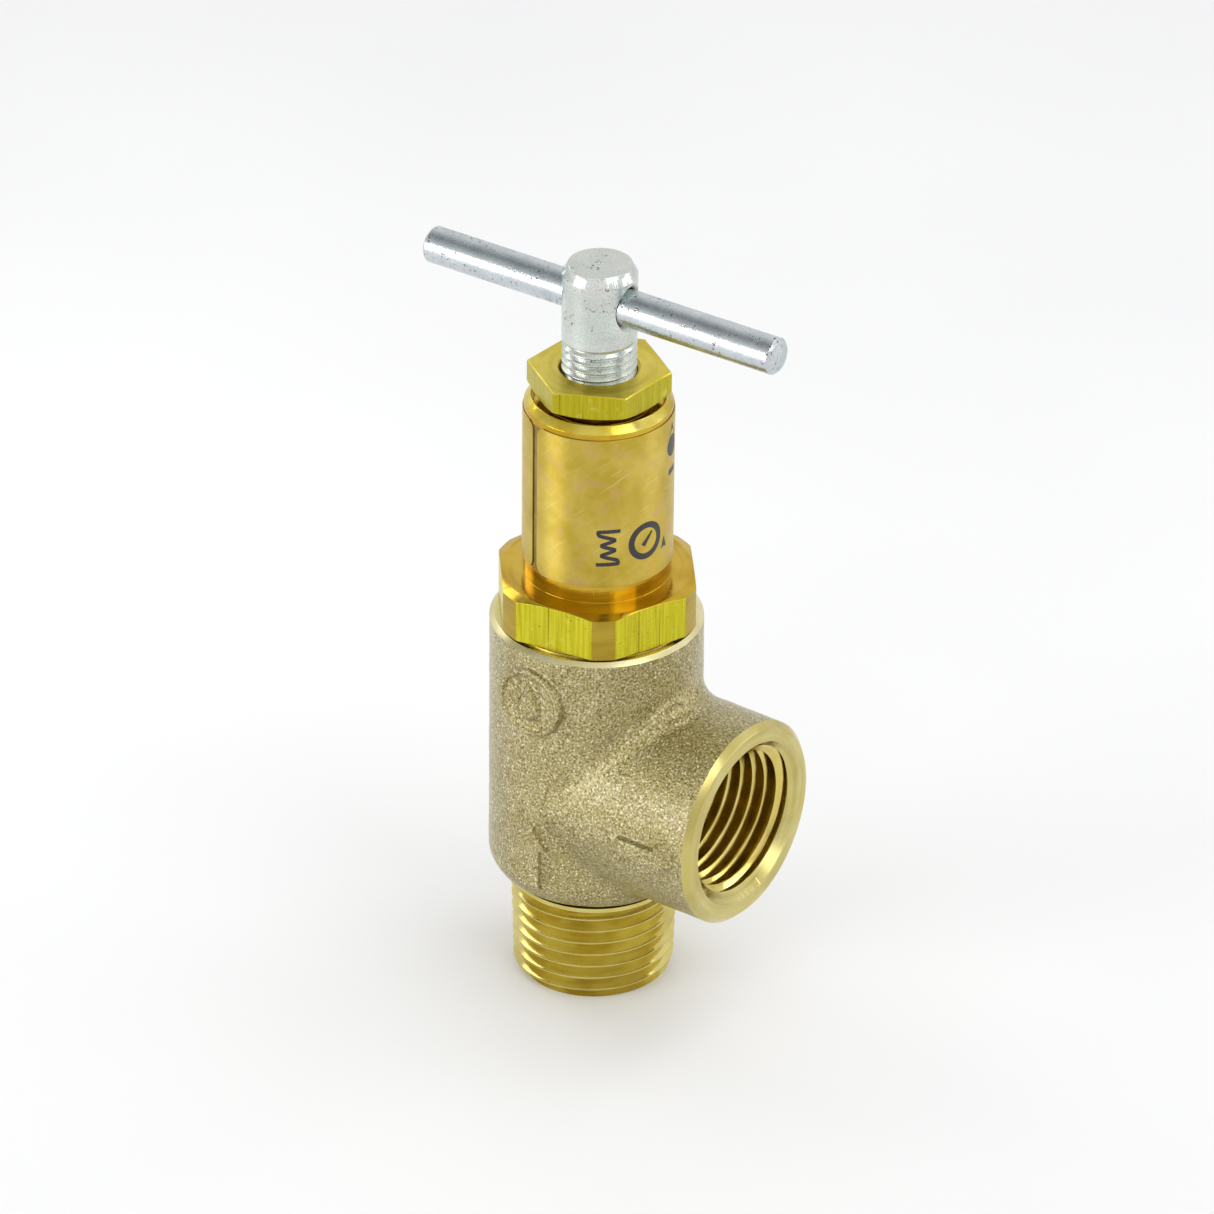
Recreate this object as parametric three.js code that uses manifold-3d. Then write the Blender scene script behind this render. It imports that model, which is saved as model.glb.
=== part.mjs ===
// Angle-pattern pressure relief valve with a T-handle adjusting screw.
// Millimetres, +Z up. Z = 0 is the end face of the inlet thread, the valve's axis is Z
// and the outlet points along +X.
import * as THREE from "three";
import { ParametricGeometry } from "three/addons/geometries/ParametricGeometry.js";
import { mergeVertices } from "three/addons/utils/BufferGeometryUtils.js";
import Module from "manifold-3d";

const wasm = await Module();
wasm.setup();

// ---- driving dimensions ----
// facets round a turned shape
const FINE = 44;
const MEDIUM = 32;
const COARSE = 24;

const RUNNING = 0.1; // radial clearance of a piece that turns or slides in another
const GAP = 0.3; // clearance left where two threads engage
const TOUCH = 0.05; // clearance between faces that press on each other

// 1/2 inch pipe thread: 14 threads per inch on a taper of 1 in 16
const PIPE_PITCH = 25.4 / 14;
const PIPE_TAPER = 1 / 32; // growth of the radius per millimetre of length
const PIPE_DEPTH = 1.35;
const INLET_CREST_R = 10.36; // crest radius at the end face
const INLET_CHAMFER_R = 9.6;
const INLET_THREAD_LENGTH = 13.7;
const INLET_FULL_CREST_Z = 12.6; // above this the cut has run out to a plain band
const INLET_TURNS = 7;
const OUTLET_ROOT_R = 10.62; // root radius at the outlet face
const OUTLET_TURNS = 7;

// casting
const BODY_R = 13.7;
const BODY_BOTTOM = 14.6;
const BODY_TOP = 52.5;
const RIM_CHAMFER = 0.6;
const RIM_FLARE = 0.1; // the rim's chamfer is this much narrower than it is high
const SHOULDER_R = 11.2; // where the casting meets the turned band over the thread
// the casting's rounded foot, outwards and upwards from the shoulder
const SHOULDER_CURVE = [
  [0, 0],
  [1.0, 0.35],
  [1.75, 1.1],
  [2.15, 2.4],
  [2.4, 4.2],
];
const SHOULDER_HEIGHT = 6.2;
const SHOULDER_STEP = 0.2; // of the turned band, under the casting
const OUTLET_R = 13.65;
const OUTLET_Z = 29.45;
const OUTLET_FACE_X = 24.1;
const OUTLET_CHAMFER = 0.8;
const CAST_FILLET = 3.0;
const FILLET_START = 14; // degrees round the boss from its widest points

// raised marks on the casting's -Y side
const PAD_R = 4.75;
const PAD_X = -0.15;
const PAD_Z = 45.4;
const PAD_FACE = 14.05; // distance of the flat pad from the valve's axis
const DROP_FACE = 14.35; // the water-drop sign stands on the pad
const ARROW_FACE = 14.1;
const MARK_DEPTH = 3; // how far back into the casting the marks reach
const FLOW_UP = { x: 0.1, z: 22.8, length: 9.8, stem: 1.5, head: 2.45, headLength: 3.8 };
const FLOW_OUT = { x: 18.0, z: 29.2, length: 8.8, stem: 1.4, head: 2.4, headLength: 3.1 };

// waterway
const INLET_BORE_R = 6.5;
const SEAT_TOP = 22.5;
const SEAT_LIP_R = 7.2;
const SEAT_FOOT_R = 8.0;
const SEAT_LEAD = 0.4; // chamfer inside the seat's lip
const SEAT_SLOPE = 0.8; // height of the cone outside it
const CHAMBER_FLOOR = 20.4;
const CHAMBER_R = 9.8;
const BONNET_BORE_BOTTOM = 42.2;
const BONNET_BORE_R = 11.1;
const BONNET_BORE_CHAMFER = 0.6;
const OUTLET_BORE_R = 8.6;
const OUTLET_BORE_START = 5; // from the valve's axis, inside the chamber
const OUTLET_SINK = 0.4; // the outlet's countersink is this much wider than the root at the face
const OUTLET_SINK_DEPTH = 1.0;

// bonnet
const PLUG_BOTTOM = 43.2;
const FLANGE_SEAT = 52.52;
const FLANGE_SEAT_R = 12.0;
const FLANGE_BOTTOM = 52.8;
const FLANGE_TOP = 58.9;
const FLANGE_CORNER_TOP = 58.5;
const FLANGE_CORNER_R = 13.35;
const FLANGE_FLAT = 12.24; // half the distance across the flats
const FLANGE_FACE_R = 12.1;
const FLANGE_ANGLE = 9.6; // degrees from +X to the middle of a corner
const BARREL_R = 9.44;
const BARREL_TOP = 83.0;
const BARREL_RIM_Z = 83.97;
const BARREL_RIM_R = 8.65;
const RECESS_FLOOR = 82.8;
const BOSS_R = 6.5;
const BOSS_TOP = 84.3;
const SPRING_BORE_R = 7.6;
const SPRING_BORE_TOP = 74.0;
const BONNET_PLUG_R = BONNET_BORE_R - GAP; // the threaded plug below the flange

// label
const LABEL_IN_R = 9.47;
const LABEL_OUT_R = 9.6;
const LABEL_Z = 61.23;
const LABEL_HEIGHT = 21.04;
const LABEL_SEAM_ANGLE = -110;
const LABEL_SEAM = 6; // degrees left open

// adjusting screw: 3/8 inch, 24 threads per inch, measured up from its tip
const SCREW_TIP_Z = 66.0; // where the tip is in the valve
const SCREW_R = 4.76;
const SCREW_PITCH = 25.4 / 24;
const SCREW_ROOT_R = 4.15;
const SCREW_TIP_R = 2.4;
const SCREW_THREAD = 26.5;
const SCREW_RIDGES = 10; // ridges cut over the part of the thread that shows at full travel
const SCREW_LENGTH = 36.3;
const SCREW_FACE_R = 4.05;
const SCREW_CHAMFER = 1.3;
const SCREW_HOLE_R = SCREW_R + RUNNING; // bore of the parts the screw runs through

// handle
const BAR_R = 2.38;
const BAR_HEIGHT = 31.33; // of its axis over the screw's tip
const BAR_LENGTH = 52.0;
const BAR_SHIFT = 0.5;
const BAR_ANGLE = 1.86;
const BAR_CHAMFER = 0.3;
const BAR_HOLE_R = 2.46;

// lock nut
const NUT_Z = 84.36;
const NUT_HEIGHT = 3.44;
const NUT_FLAT = 7.97; // half the distance across the flats
const NUT_CORNER_R = 9.2;
const NUT_ANGLE = 26.94;
const NUT_SINK_R = 5.2; // countersink at both ends of the nut's hole

// spring and what it presses on
const SPRING_FOOT = 29.6;
const SPRING_HEAD = 63.4;
const WIRE_R = 1.0;
const SPRING_R = 5.7; // mean radius of the coil
const SPRING_TURNS = 9;
const CLOSED_PITCH = 2.05 * WIRE_R; // of the first and last coils
const PILOT_R = SPRING_R - WIRE_R - 0.35; // of the spigots that stand inside the coil
const PILOT_HEIGHT = 2.6; // of the button's
const PILOT_CHAMFER = 0.5;
const BUTTON_R = SPRING_BORE_R - RUNNING;
const BUTTON_TOP = 67.2;

// disc assembly, measured up from the rubber disc's sealing face
const DISC_Z = SEAT_TOP + 0.02;
const DISC_R = 8.3;
const DISC_THICK = 2.9;
const HOLDER_R = 9.0;
const WING_R = 9.55;
const WASHER_R = 4.6;
const WASHER_THICK = 0.8;
const DISC_SCREW_R = 1.5;
const DISC_SCREW_HEAD_R = 2.7;
const DISC_SCREW_REACH = 8.0;
const DISC_SCREW_CLEAR = 0.15;

// colour, roughness and, where it isn't bare metal, metalness
const FINISHES = {
  castBrass: [0xb3a069, 0.55],
  turnedBrass: [0xc9a93a, 0.28],
  labelFoil: [0xcbb04c, 0.38],
  zincPlate: [0xc3c8ca, 0.35],
  springSteel: [0x9a9da0, 0.35],
  rubber: [0x2a2a2c, 0.85, 0],
  fibre: [0x8a8f7a, 0.8, 0],
};

// ---- helpers ----

// A closed solid from a three.js geometry.
function solid(geometry) {
  const plain = geometry.clone();
  plain.deleteAttribute("normal");
  plain.deleteAttribute("uv");
  const merged = mergeVertices(plain, 1e-4);
  return new wasm.Manifold(
    new wasm.Mesh({
      numProp: 3,
      vertProperties: merged.attributes.position.array,
      triVerts: new Uint32Array(merged.index.array),
    }),
  );
}

// A three.js geometry from a solid.
function geometryOf(body) {
  const mesh = body.getMesh();
  const positions = new Float32Array(mesh.numVert * 3);
  for (let i = 0; i < mesh.numVert; i++) {
    const start = i * mesh.numProp;
    positions.set(mesh.vertProperties.subarray(start, start + 3), i * 3);
  }
  const geometry = new THREE.BufferGeometry();
  geometry.setAttribute("position", new THREE.BufferAttribute(positions, 3));
  geometry.setIndex(new THREE.BufferAttribute(mesh.triVerts.slice(), 1));
  geometry.computeVertexNormals();
  return geometry;
}

// A solid turned about Z from a profile of [radius, height] pairs, walked with the material on the left.
function turned(profile, segments = MEDIUM) {
  const points = profile.map(([r, z]) => new THREE.Vector2(r, z));
  return solid(
    new THREE.LatheGeometry(points, segments).rotateX(Math.PI / 2),
  );
}

// A flat ring about Z: its profile is a rectangle clear of the axis.
function flatRing(inner, outer, bottom, top) {
  return turned([
    [inner, bottom],
    [outer, bottom],
    [outer, top],
    [inner, top],
    [inner, bottom],
  ]);
}

const radians = (degrees) => THREE.MathUtils.degToRad(degrees);

// A six-sided prism with a corner at the given angle from +X.
function hexPrism(halfAcrossFlats, bottom, top, cornerAngle) {
  const height = top - bottom;
  const corner = halfAcrossFlats / Math.cos(Math.PI / 6);
  return solid(
    new THREE.CylinderGeometry(corner, corner, height, 6)
      .rotateX(Math.PI / 2)
      .rotateZ(radians(cornerAngle + 30))
      .translate(0, 0, bottom + height / 2),
  );
}

// Crest and root points of a run of thread ridges along Z, for a profile walked upwards.
function ridges(start, turns, pitch, crest, root) {
  const points = [];
  for (let i = 0; i < turns; i++) {
    const z = start + i * pitch;
    points.push([crest(z), z], [root(z + pitch / 2), z + pitch / 2]);
  }
  return points;
}

// ---- valve body ----

const inletCrest = (z) => INLET_CREST_R + z * PIPE_TAPER;

function castBlank() {
  const firstCrest = PIPE_PITCH * 0.75;
  const bandR = inletCrest(INLET_THREAD_LENGTH);
  return turned(
    [
      [0, 0],
      [INLET_CHAMFER_R, 0],
      [INLET_CHAMFER_R + 0.2, 0.3],
      ...ridges(
        firstCrest,
        INLET_TURNS - 1,
        PIPE_PITCH,
        inletCrest,
        (z) => inletCrest(z) - PIPE_DEPTH,
      ),
      [inletCrest(INLET_FULL_CREST_Z), INLET_FULL_CREST_Z],
      [bandR, INLET_THREAD_LENGTH],
      [bandR, BODY_BOTTOM - SHOULDER_STEP],
      ...SHOULDER_CURVE.map(([out, up]) => [SHOULDER_R + out, BODY_BOTTOM + up]),
      [BODY_R, BODY_BOTTOM + SHOULDER_HEIGHT],
      [BODY_R, BODY_TOP - RIM_CHAMFER],
      [BODY_R - RIM_CHAMFER + RIM_FLARE, BODY_TOP],
      [0, BODY_TOP],
    ],
    FINE,
  );
}

function outletBoss() {
  return turned(
    [
      [0, 0],
      [OUTLET_R, 0],
      [OUTLET_R, OUTLET_FACE_X - OUTLET_CHAMFER],
      [OUTLET_R - OUTLET_CHAMFER, OUTLET_FACE_X],
      [0, OUTLET_FACE_X],
    ],
    FINE,
  )
    .rotate([0, 90, 0])
    .translate([0, 0, OUTLET_Z]);
}

// The rounded corner where the boss grows out of the body, as left by a ball rolled along
// the joint line over the top of the boss.
function rolledFillet() {
  const first = radians(FILLET_START);
  const turn = Math.PI - 2 * first;
  const pull = 0.93; // the hidden edges of the wedge lie this share of the way out from the axes
  const shrink = BODY_R / (BODY_R + CAST_FILLET);
  const arcSteps = 4;
  const section = (around) => {
    const centreY = (OUTLET_R + CAST_FILLET) * Math.cos(around);
    const centreZ = (OUTLET_R + CAST_FILLET) * Math.sin(around);
    const centreX = Math.sqrt((BODY_R + CAST_FILLET) ** 2 - centreY ** 2);
    const centre = new THREE.Vector3(centreX, centreY, centreZ);
    const onBody = new THREE.Vector3(centreX * shrink, centreY * shrink, centreZ);
    const bossY = OUTLET_R * Math.cos(around);
    const bossZ = OUTLET_R * Math.sin(around);
    const onBoss = new THREE.Vector3(centreX, bossY, bossZ);
    const arc = (t) =>
      onBody.clone().lerp(onBoss, t).sub(centre).setLength(CAST_FILLET).add(centre);
    const loop = [];
    loop.push(new THREE.Vector3(pull * onBody.x, pull * onBody.y, centreZ));
    loop.push(new THREE.Vector3(pull * onBody.x, pull * bossY, pull * bossZ));
    loop.push(new THREE.Vector3(centreX, pull * bossY, pull * bossZ));
    for (let i = arcSteps; i >= 0; i--) loop.push(arc(i / arcSteps));
    return loop;
  };
  const loopLength = arcSteps + 4;
  const surface = (u, v, target) => {
    const loop = section(first + turn * v);
    const onEnd = v === 0 || v === 1;
    target.copy(loop[onEnd ? 1 : Math.round(u * loopLength) % loopLength]);
  };
  return solid(new ParametricGeometry(surface, loopLength, 16)).translate([0, 0, OUTLET_Z]);
}

// A flat outline in X and Z, standing on the casting's -Y side with its face at the given
// distance from the axis.
function raisedMark(shape, x, z, face) {
  const settings = { depth: MARK_DEPTH, bevelEnabled: false, curveSegments: 12 };
  return solid(
    new THREE.ExtrudeGeometry(shape, settings)
      .rotateX(Math.PI / 2)
      .translate(x, MARK_DEPTH - face, z),
  );
}

function arrowShape({ length, stem, head, headLength }) {
  const tip = length / 2;
  const neck = tip - headLength;
  return new THREE.Shape([
    new THREE.Vector2(-stem, -tip),
    new THREE.Vector2(stem, -tip),
    new THREE.Vector2(stem, neck),
    new THREE.Vector2(head, neck),
    new THREE.Vector2(0, tip),
    new THREE.Vector2(-head, neck),
    new THREE.Vector2(-stem, neck),
  ]);
}

function dropShape() {
  const shape = new THREE.Shape();
  const round = 1.7;
  shape.moveTo(0, 3.1);
  shape.bezierCurveTo(-0.5, 1.9, -round, 0.9, -round, -0.6);
  shape.absarc(0, -0.6, round, Math.PI, 2 * Math.PI, false);
  shape.bezierCurveTo(round, 0.9, 0.5, 1.9, 0, 3.1);
  return shape;
}

function circleShape(r) {
  return new THREE.Shape().absarc(0, 0, r, 0, 2 * Math.PI, false);
}

// Inlet bore, seat, chamber and bonnet bore in one cutter.
function waterway() {
  return turned([
    [0, -1],
    [INLET_BORE_R, -1],
    [INLET_BORE_R, SEAT_TOP - SEAT_LEAD],
    [INLET_BORE_R + SEAT_LEAD, SEAT_TOP],
    [SEAT_LIP_R, SEAT_TOP],
    [SEAT_FOOT_R, SEAT_TOP - SEAT_SLOPE],
    [SEAT_FOOT_R, CHAMBER_FLOOR],
    [CHAMBER_R, CHAMBER_FLOOR],
    [CHAMBER_R, BONNET_BORE_BOTTOM],
    [BONNET_BORE_R, BONNET_BORE_BOTTOM],
    [BONNET_BORE_R, BODY_TOP - 0.4],
    [BONNET_BORE_R + BONNET_BORE_CHAMFER, BODY_TOP + 0.2],
    [BONNET_BORE_R + BONNET_BORE_CHAMFER, BODY_TOP + 1],
    [0, BODY_TOP + 1],
  ]);
}

// Outlet bore with the ridges of its pipe thread, drawn along Z and then laid along X.
function outletPort() {
  const face = OUTLET_FACE_X;
  const threadStart = face - OUTLET_TURNS * PIPE_PITCH;
  const root = (x) => OUTLET_ROOT_R - (face - x) * PIPE_TAPER;
  const crest = (x) => root(x) - PIPE_DEPTH;
  const mouthR = OUTLET_ROOT_R + OUTLET_SINK;
  return turned(
    [
      [0, OUTLET_BORE_START],
      [OUTLET_BORE_R, OUTLET_BORE_START],
      [OUTLET_BORE_R, threadStart - 0.3],
      ...ridges(threadStart, OUTLET_TURNS - 1, PIPE_PITCH, crest, root),
      [crest(face - PIPE_PITCH), face - PIPE_PITCH],
      [mouthR - OUTLET_SINK_DEPTH, face - OUTLET_SINK_DEPTH],
      [mouthR, face],
      [mouthR, face + 1],
      [0, face + 1],
    ],
    MEDIUM,
  )
    .rotate([0, 90, 0])
    .translate([0, 0, OUTLET_Z]);
}

function valveBody() {
  return castBlank()
    .add(outletBoss())
    .add(rolledFillet())
    .add(raisedMark(circleShape(PAD_R), PAD_X, PAD_Z, PAD_FACE))
    .add(raisedMark(dropShape(), PAD_X, PAD_Z, DROP_FACE))
    .add(raisedMark(arrowShape(FLOW_UP), FLOW_UP.x, FLOW_UP.z, ARROW_FACE))
    .add(
      raisedMark(arrowShape(FLOW_OUT), 0, 0, ARROW_FACE)
        .rotate([0, 90, 0])
        .translate([FLOW_OUT.x, 0, FLOW_OUT.z]),
    )
    .subtract(waterway())
    .subtract(outletPort());
}

// ---- bonnet and label ----

function bonnet() {
  const tube = turned(
    [
      [0, PLUG_BOTTOM],
      [BONNET_PLUG_R - 0.5, PLUG_BOTTOM],
      [BONNET_PLUG_R, PLUG_BOTTOM + 0.5],
      [BONNET_PLUG_R, FLANGE_SEAT],
      [FLANGE_SEAT_R, FLANGE_SEAT],
      [FLANGE_SEAT_R, FLANGE_BOTTOM + 0.5],
      [BARREL_R, FLANGE_BOTTOM + 0.5],
      [BARREL_R, BARREL_TOP],
      [BARREL_RIM_R, BARREL_RIM_Z],
      [BARREL_RIM_R - 0.2, BARREL_RIM_Z],
      [BARREL_RIM_R - 0.5, RECESS_FLOOR],
      [BOSS_R, RECESS_FLOOR],
      [BOSS_R, BOSS_TOP],
      [0, BOSS_TOP],
    ],
    FINE,
  );
  const flange = turned(
    [
      [0, FLANGE_BOTTOM],
      [FLANGE_CORNER_R, FLANGE_BOTTOM],
      [FLANGE_CORNER_R, FLANGE_CORNER_TOP],
      [FLANGE_FACE_R, FLANGE_TOP],
      [0, FLANGE_TOP],
    ],
    FINE,
  ).intersect(
    hexPrism(FLANGE_FLAT, FLANGE_BOTTOM - 1, FLANGE_TOP + 1, FLANGE_ANGLE),
  );
  const bore = turned(
    [
      [0, PLUG_BOTTOM - 1],
      [SPRING_BORE_R, PLUG_BOTTOM - 1],
      [SPRING_BORE_R, SPRING_BORE_TOP],
      [SCREW_HOLE_R, SPRING_BORE_TOP],
      [SCREW_HOLE_R, BOSS_TOP + 1],
      [0, BOSS_TOP + 1],
    ],
    MEDIUM,
  );
  return tube.add(flange).subtract(bore);
}

function bonnetGasket() {
  return flatRing(
    CHAMBER_R + TOUCH,
    BONNET_BORE_R - RUNNING,
    BONNET_BORE_BOTTOM + TOUCH,
    PLUG_BOTTOM - TOUCH,
  );
}

// Stands on Z = 0 with its open seam on +X.
function bonnetLabel() {
  const start = radians(LABEL_SEAM / 2);
  const end = radians(360 - LABEL_SEAM / 2);
  const band = new THREE.Shape();
  band.absarc(0, 0, LABEL_OUT_R, start, end, false);
  band.absarc(0, 0, LABEL_IN_R, end, start, true);
  return solid(
    new THREE.ExtrudeGeometry(band, {
      depth: LABEL_HEIGHT,
      bevelEnabled: false,
      curveSegments: 46,
    }),
  );
}

// ---- adjusting screw, handle and nut ----

// A round rod along X, centred, with chamfered ends.
function rod(radius, length, chamfer) {
  const end = length / 2;
  return turned(
    [
      [0, -end],
      [radius - chamfer, -end],
      [radius, chamfer - end],
      [radius, end - chamfer],
      [radius - chamfer, end],
      [0, end],
    ],
    COARSE,
  ).rotate([0, 90, 0]);
}

function adjustingScrew() {
  const ridgeStart = SCREW_THREAD - (SCREW_RIDGES - 0.3) * SCREW_PITCH;
  const plainR = SCREW_R - 0.2;
  const blank = turned(
    [
      [0, 0],
      [0.5 * SCREW_TIP_R, 0.15],
      [0.85 * SCREW_TIP_R, 0.7],
      [SCREW_TIP_R, 1.6],
      [SCREW_TIP_R, 3.5],
      [SCREW_ROOT_R, 4.0],
      [plainR, 4.6],
      [plainR, ridgeStart - 0.3 * SCREW_PITCH],
      ...ridges(
        ridgeStart,
        SCREW_RIDGES,
        SCREW_PITCH,
        () => SCREW_R,
        () => SCREW_ROOT_R,
      ),
      [SCREW_R, SCREW_THREAD + 0.6],
      [SCREW_R, SCREW_LENGTH - SCREW_CHAMFER],
      [SCREW_FACE_R, SCREW_LENGTH],
      [0, SCREW_LENGTH],
    ],
    MEDIUM,
  );
  const crossHole = rod(BAR_HOLE_R, 4 * SCREW_R, 0)
    .rotate([0, 0, BAR_ANGLE])
    .translate([0, 0, BAR_HEIGHT]);
  return blank.subtract(crossHole);
}

// Stands on Z = 0 with a corner on +X.
function lockNut() {
  const blank = turned(
    [
      [0, 0],
      [NUT_FLAT, 0],
      [NUT_CORNER_R, 0.54],
      [NUT_CORNER_R, NUT_HEIGHT - 0.18],
      [NUT_CORNER_R - 0.6, NUT_HEIGHT],
      [0, NUT_HEIGHT],
    ],
    FINE,
  ).intersect(hexPrism(NUT_FLAT, -1, NUT_HEIGHT + 1, 0));
  const sink = 0.4;
  const hole = turned([
    [0, -1],
    [NUT_SINK_R, -1],
    [NUT_SINK_R, 0],
    [SCREW_HOLE_R, sink],
    [SCREW_HOLE_R, NUT_HEIGHT - sink],
    [NUT_SINK_R, NUT_HEIGHT],
    [NUT_SINK_R, NUT_HEIGHT + 1],
    [0, NUT_HEIGHT + 1],
  ]);
  return blank.subtract(hole);
}

// ---- spring and its seats ----

class SpringWire extends THREE.Curve {
  getPoint(t, target = new THREE.Vector3()) {
    const turn = t * SPRING_TURNS;
    const foot = SPRING_FOOT + WIRE_R;
    const rise = SPRING_HEAD - SPRING_FOOT - 2 * WIRE_R;
    const openPitch = (rise - 2 * CLOSED_PITCH) / (SPRING_TURNS - 2);
    const closedTurns = Math.min(turn, 1) + Math.max(turn - SPRING_TURNS + 1, 0);
    const openTurns = turn - closedTurns;
    const angle = 2 * Math.PI * turn;
    const height = foot + CLOSED_PITCH * closedTurns + openPitch * openTurns;
    return target.set(
      SPRING_R * Math.cos(angle),
      SPRING_R * Math.sin(angle),
      height,
    );
  }
}

function spring() {
  return solid(
    new THREE.ExtrudeGeometry(circleShape(WIRE_R), {
      extrudePath: new SpringWire(),
      steps: 14 * SPRING_TURNS,
      curveSegments: 3,
      bevelEnabled: false,
    }),
  );
}

function springButton() {
  const seat = SPRING_HEAD + TOUCH;
  const foot = seat - PILOT_HEIGHT;
  const dimple = SCREW_TIP_Z - TOUCH;
  return turned([
    [0, foot],
    [PILOT_R - PILOT_CHAMFER, foot],
    [PILOT_R, foot + PILOT_CHAMFER],
    [PILOT_R, seat],
    [BUTTON_R, seat],
    [BUTTON_R, BUTTON_TOP - 0.8],
    [BUTTON_R - 1.2, BUTTON_TOP],
    [SCREW_TIP_R + 0.6, BUTTON_TOP],
    [SCREW_TIP_R + 0.2, dimple + 0.65],
    [0.5 * SCREW_TIP_R, dimple],
    [0, dimple],
  ]);
}

// ---- disc assembly ----

function discHolder() {
  const top = SPRING_FOOT - DISC_Z - TOUCH;
  const skirt = 0.7;
  const edge = 0.8;
  const pilotTop = top + 3.8;
  const blank = turned([
    [0, skirt],
    [HOLDER_R, skirt],
    [HOLDER_R, top - edge],
    [HOLDER_R - edge, top],
    [PILOT_R, top],
    [PILOT_R, pilotTop - PILOT_CHAMFER],
    [PILOT_R - PILOT_CHAMFER, pilotTop],
    [0, pilotTop],
  ]);
  const wingHeight = top - 1 - skirt;
  const wings = [90, 210, 330].map((azimuth) =>
    solid(
      new THREE.BoxGeometry(2, 3, wingHeight)
        .translate(WING_R - 1, 0, skirt + wingHeight / 2)
        .rotateZ(radians(azimuth)),
    ),
  );
  const recessR = DISC_R + 0.1;
  const recessTop = DISC_THICK + TOUCH;
  const holeR = DISC_SCREW_R + DISC_SCREW_CLEAR;
  const holeTop = DISC_SCREW_REACH + 0.5;
  const recess = turned([
    [0, skirt - 1],
    [recessR, skirt - 1],
    [recessR, recessTop],
    [holeR, recessTop],
    [holeR, holeTop],
    [0, holeTop],
  ]);
  return wings.reduce((body, wing) => body.add(wing), blank).subtract(recess);
}

function seatDisc() {
  return flatRing(DISC_SCREW_R + DISC_SCREW_CLEAR, DISC_R, 0, DISC_THICK);
}

function discWasher() {
  const top = -0.02;
  return flatRing(DISC_SCREW_R + DISC_SCREW_CLEAR, WASHER_R, top - WASHER_THICK, top);
}

function discScrew() {
  const head = -WASHER_THICK - 0.06;
  const headHeight = 1.7;
  const chamfer = 0.4;
  return turned(
    [
      [0, head - headHeight],
      [DISC_SCREW_HEAD_R - chamfer, head - headHeight],
      [DISC_SCREW_HEAD_R, head - headHeight + chamfer],
      [DISC_SCREW_HEAD_R, head],
      [DISC_SCREW_R, head],
      [DISC_SCREW_R, DISC_SCREW_REACH - chamfer],
      [DISC_SCREW_R - chamfer, DISC_SCREW_REACH],
      [0, DISC_SCREW_REACH],
    ],
    COARSE,
  );
}

// ---- assembly ----

function part(name, body, finish) {
  const [color, roughness, metalness = 1] = FINISHES[finish];
  const material = new THREE.MeshStandardMaterial({ color, roughness, metalness });
  const mesh = new THREE.Mesh(geometryOf(body), material);
  mesh.name = name;
  return mesh;
}

function group(name, height, ...members) {
  const made = new THREE.Group();
  made.name = name;
  made.position.z = height;
  made.add(...members);
  return made;
}

const label = part("bonnet_label", bonnetLabel(), "labelFoil");
label.position.z = LABEL_Z;
label.rotation.z = radians(LABEL_SEAM_ANGLE);

const nut = part("lock_nut", lockNut(), "turnedBrass");
nut.position.z = NUT_Z;
nut.rotation.z = radians(NUT_ANGLE);

const bar = part("t_bar", rod(BAR_R, BAR_LENGTH, BAR_CHAMFER), "zincPlate");
bar.position.set(BAR_SHIFT, 0, BAR_HEIGHT);
bar.rotation.z = radians(BAR_ANGLE);

const valve = group(
  "pressure_relief_valve",
  0,
  part("valve_body", valveBody(), "castBrass"),
  group(
    "spring_housing",
    0,
    part("bonnet", bonnet(), "turnedBrass"),
    part("bonnet_gasket", bonnetGasket(), "fibre"),
    label,
    nut,
  ),
  group(
    "adjuster",
    SCREW_TIP_Z,
    part("adjusting_screw", adjustingScrew(), "zincPlate"),
    bar,
  ),
  group(
    "spring_load",
    0,
    part("spring_button", springButton(), "turnedBrass"),
    part("spring", spring(), "springSteel"),
  ),
  group(
    "disc_assembly",
    DISC_Z,
    part("disc_holder", discHolder(), "turnedBrass"),
    part("seat_disc", seatDisc(), "rubber"),
    part("disc_washer", discWasher(), "turnedBrass"),
    part("disc_screw", discScrew(), "turnedBrass"),
  ),
);

export default valve;
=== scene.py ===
"""Looks of an angle-pattern pressure relief valve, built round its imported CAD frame.

The shape functions work in millimetres with +Z up: the valve's axis is Z, the inlet's end face is at
Z = 0 and the outlet points along +X. solid() turns a finished shape into Blender's metres.
"""

import itertools
import math

import bmesh
import bpy
import numpy as np
from mathutils import Matrix, Vector


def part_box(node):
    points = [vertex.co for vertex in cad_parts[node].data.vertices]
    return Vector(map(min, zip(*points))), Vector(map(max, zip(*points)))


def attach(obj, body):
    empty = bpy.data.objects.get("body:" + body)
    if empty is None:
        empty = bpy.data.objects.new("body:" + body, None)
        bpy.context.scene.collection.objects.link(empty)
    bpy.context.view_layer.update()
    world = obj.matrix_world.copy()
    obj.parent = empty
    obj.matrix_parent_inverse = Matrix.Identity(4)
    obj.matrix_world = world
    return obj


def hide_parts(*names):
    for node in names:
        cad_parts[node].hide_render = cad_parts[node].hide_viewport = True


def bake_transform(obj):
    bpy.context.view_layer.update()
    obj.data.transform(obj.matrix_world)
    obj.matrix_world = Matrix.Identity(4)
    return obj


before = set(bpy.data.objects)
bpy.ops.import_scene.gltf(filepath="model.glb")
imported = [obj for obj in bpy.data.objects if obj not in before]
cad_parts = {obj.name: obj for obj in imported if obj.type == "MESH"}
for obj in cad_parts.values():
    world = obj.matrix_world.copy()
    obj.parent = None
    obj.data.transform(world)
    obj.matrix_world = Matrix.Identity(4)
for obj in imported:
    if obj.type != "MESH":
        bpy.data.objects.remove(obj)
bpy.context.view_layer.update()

MM = 0.001
TURN = 2 * math.pi


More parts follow.
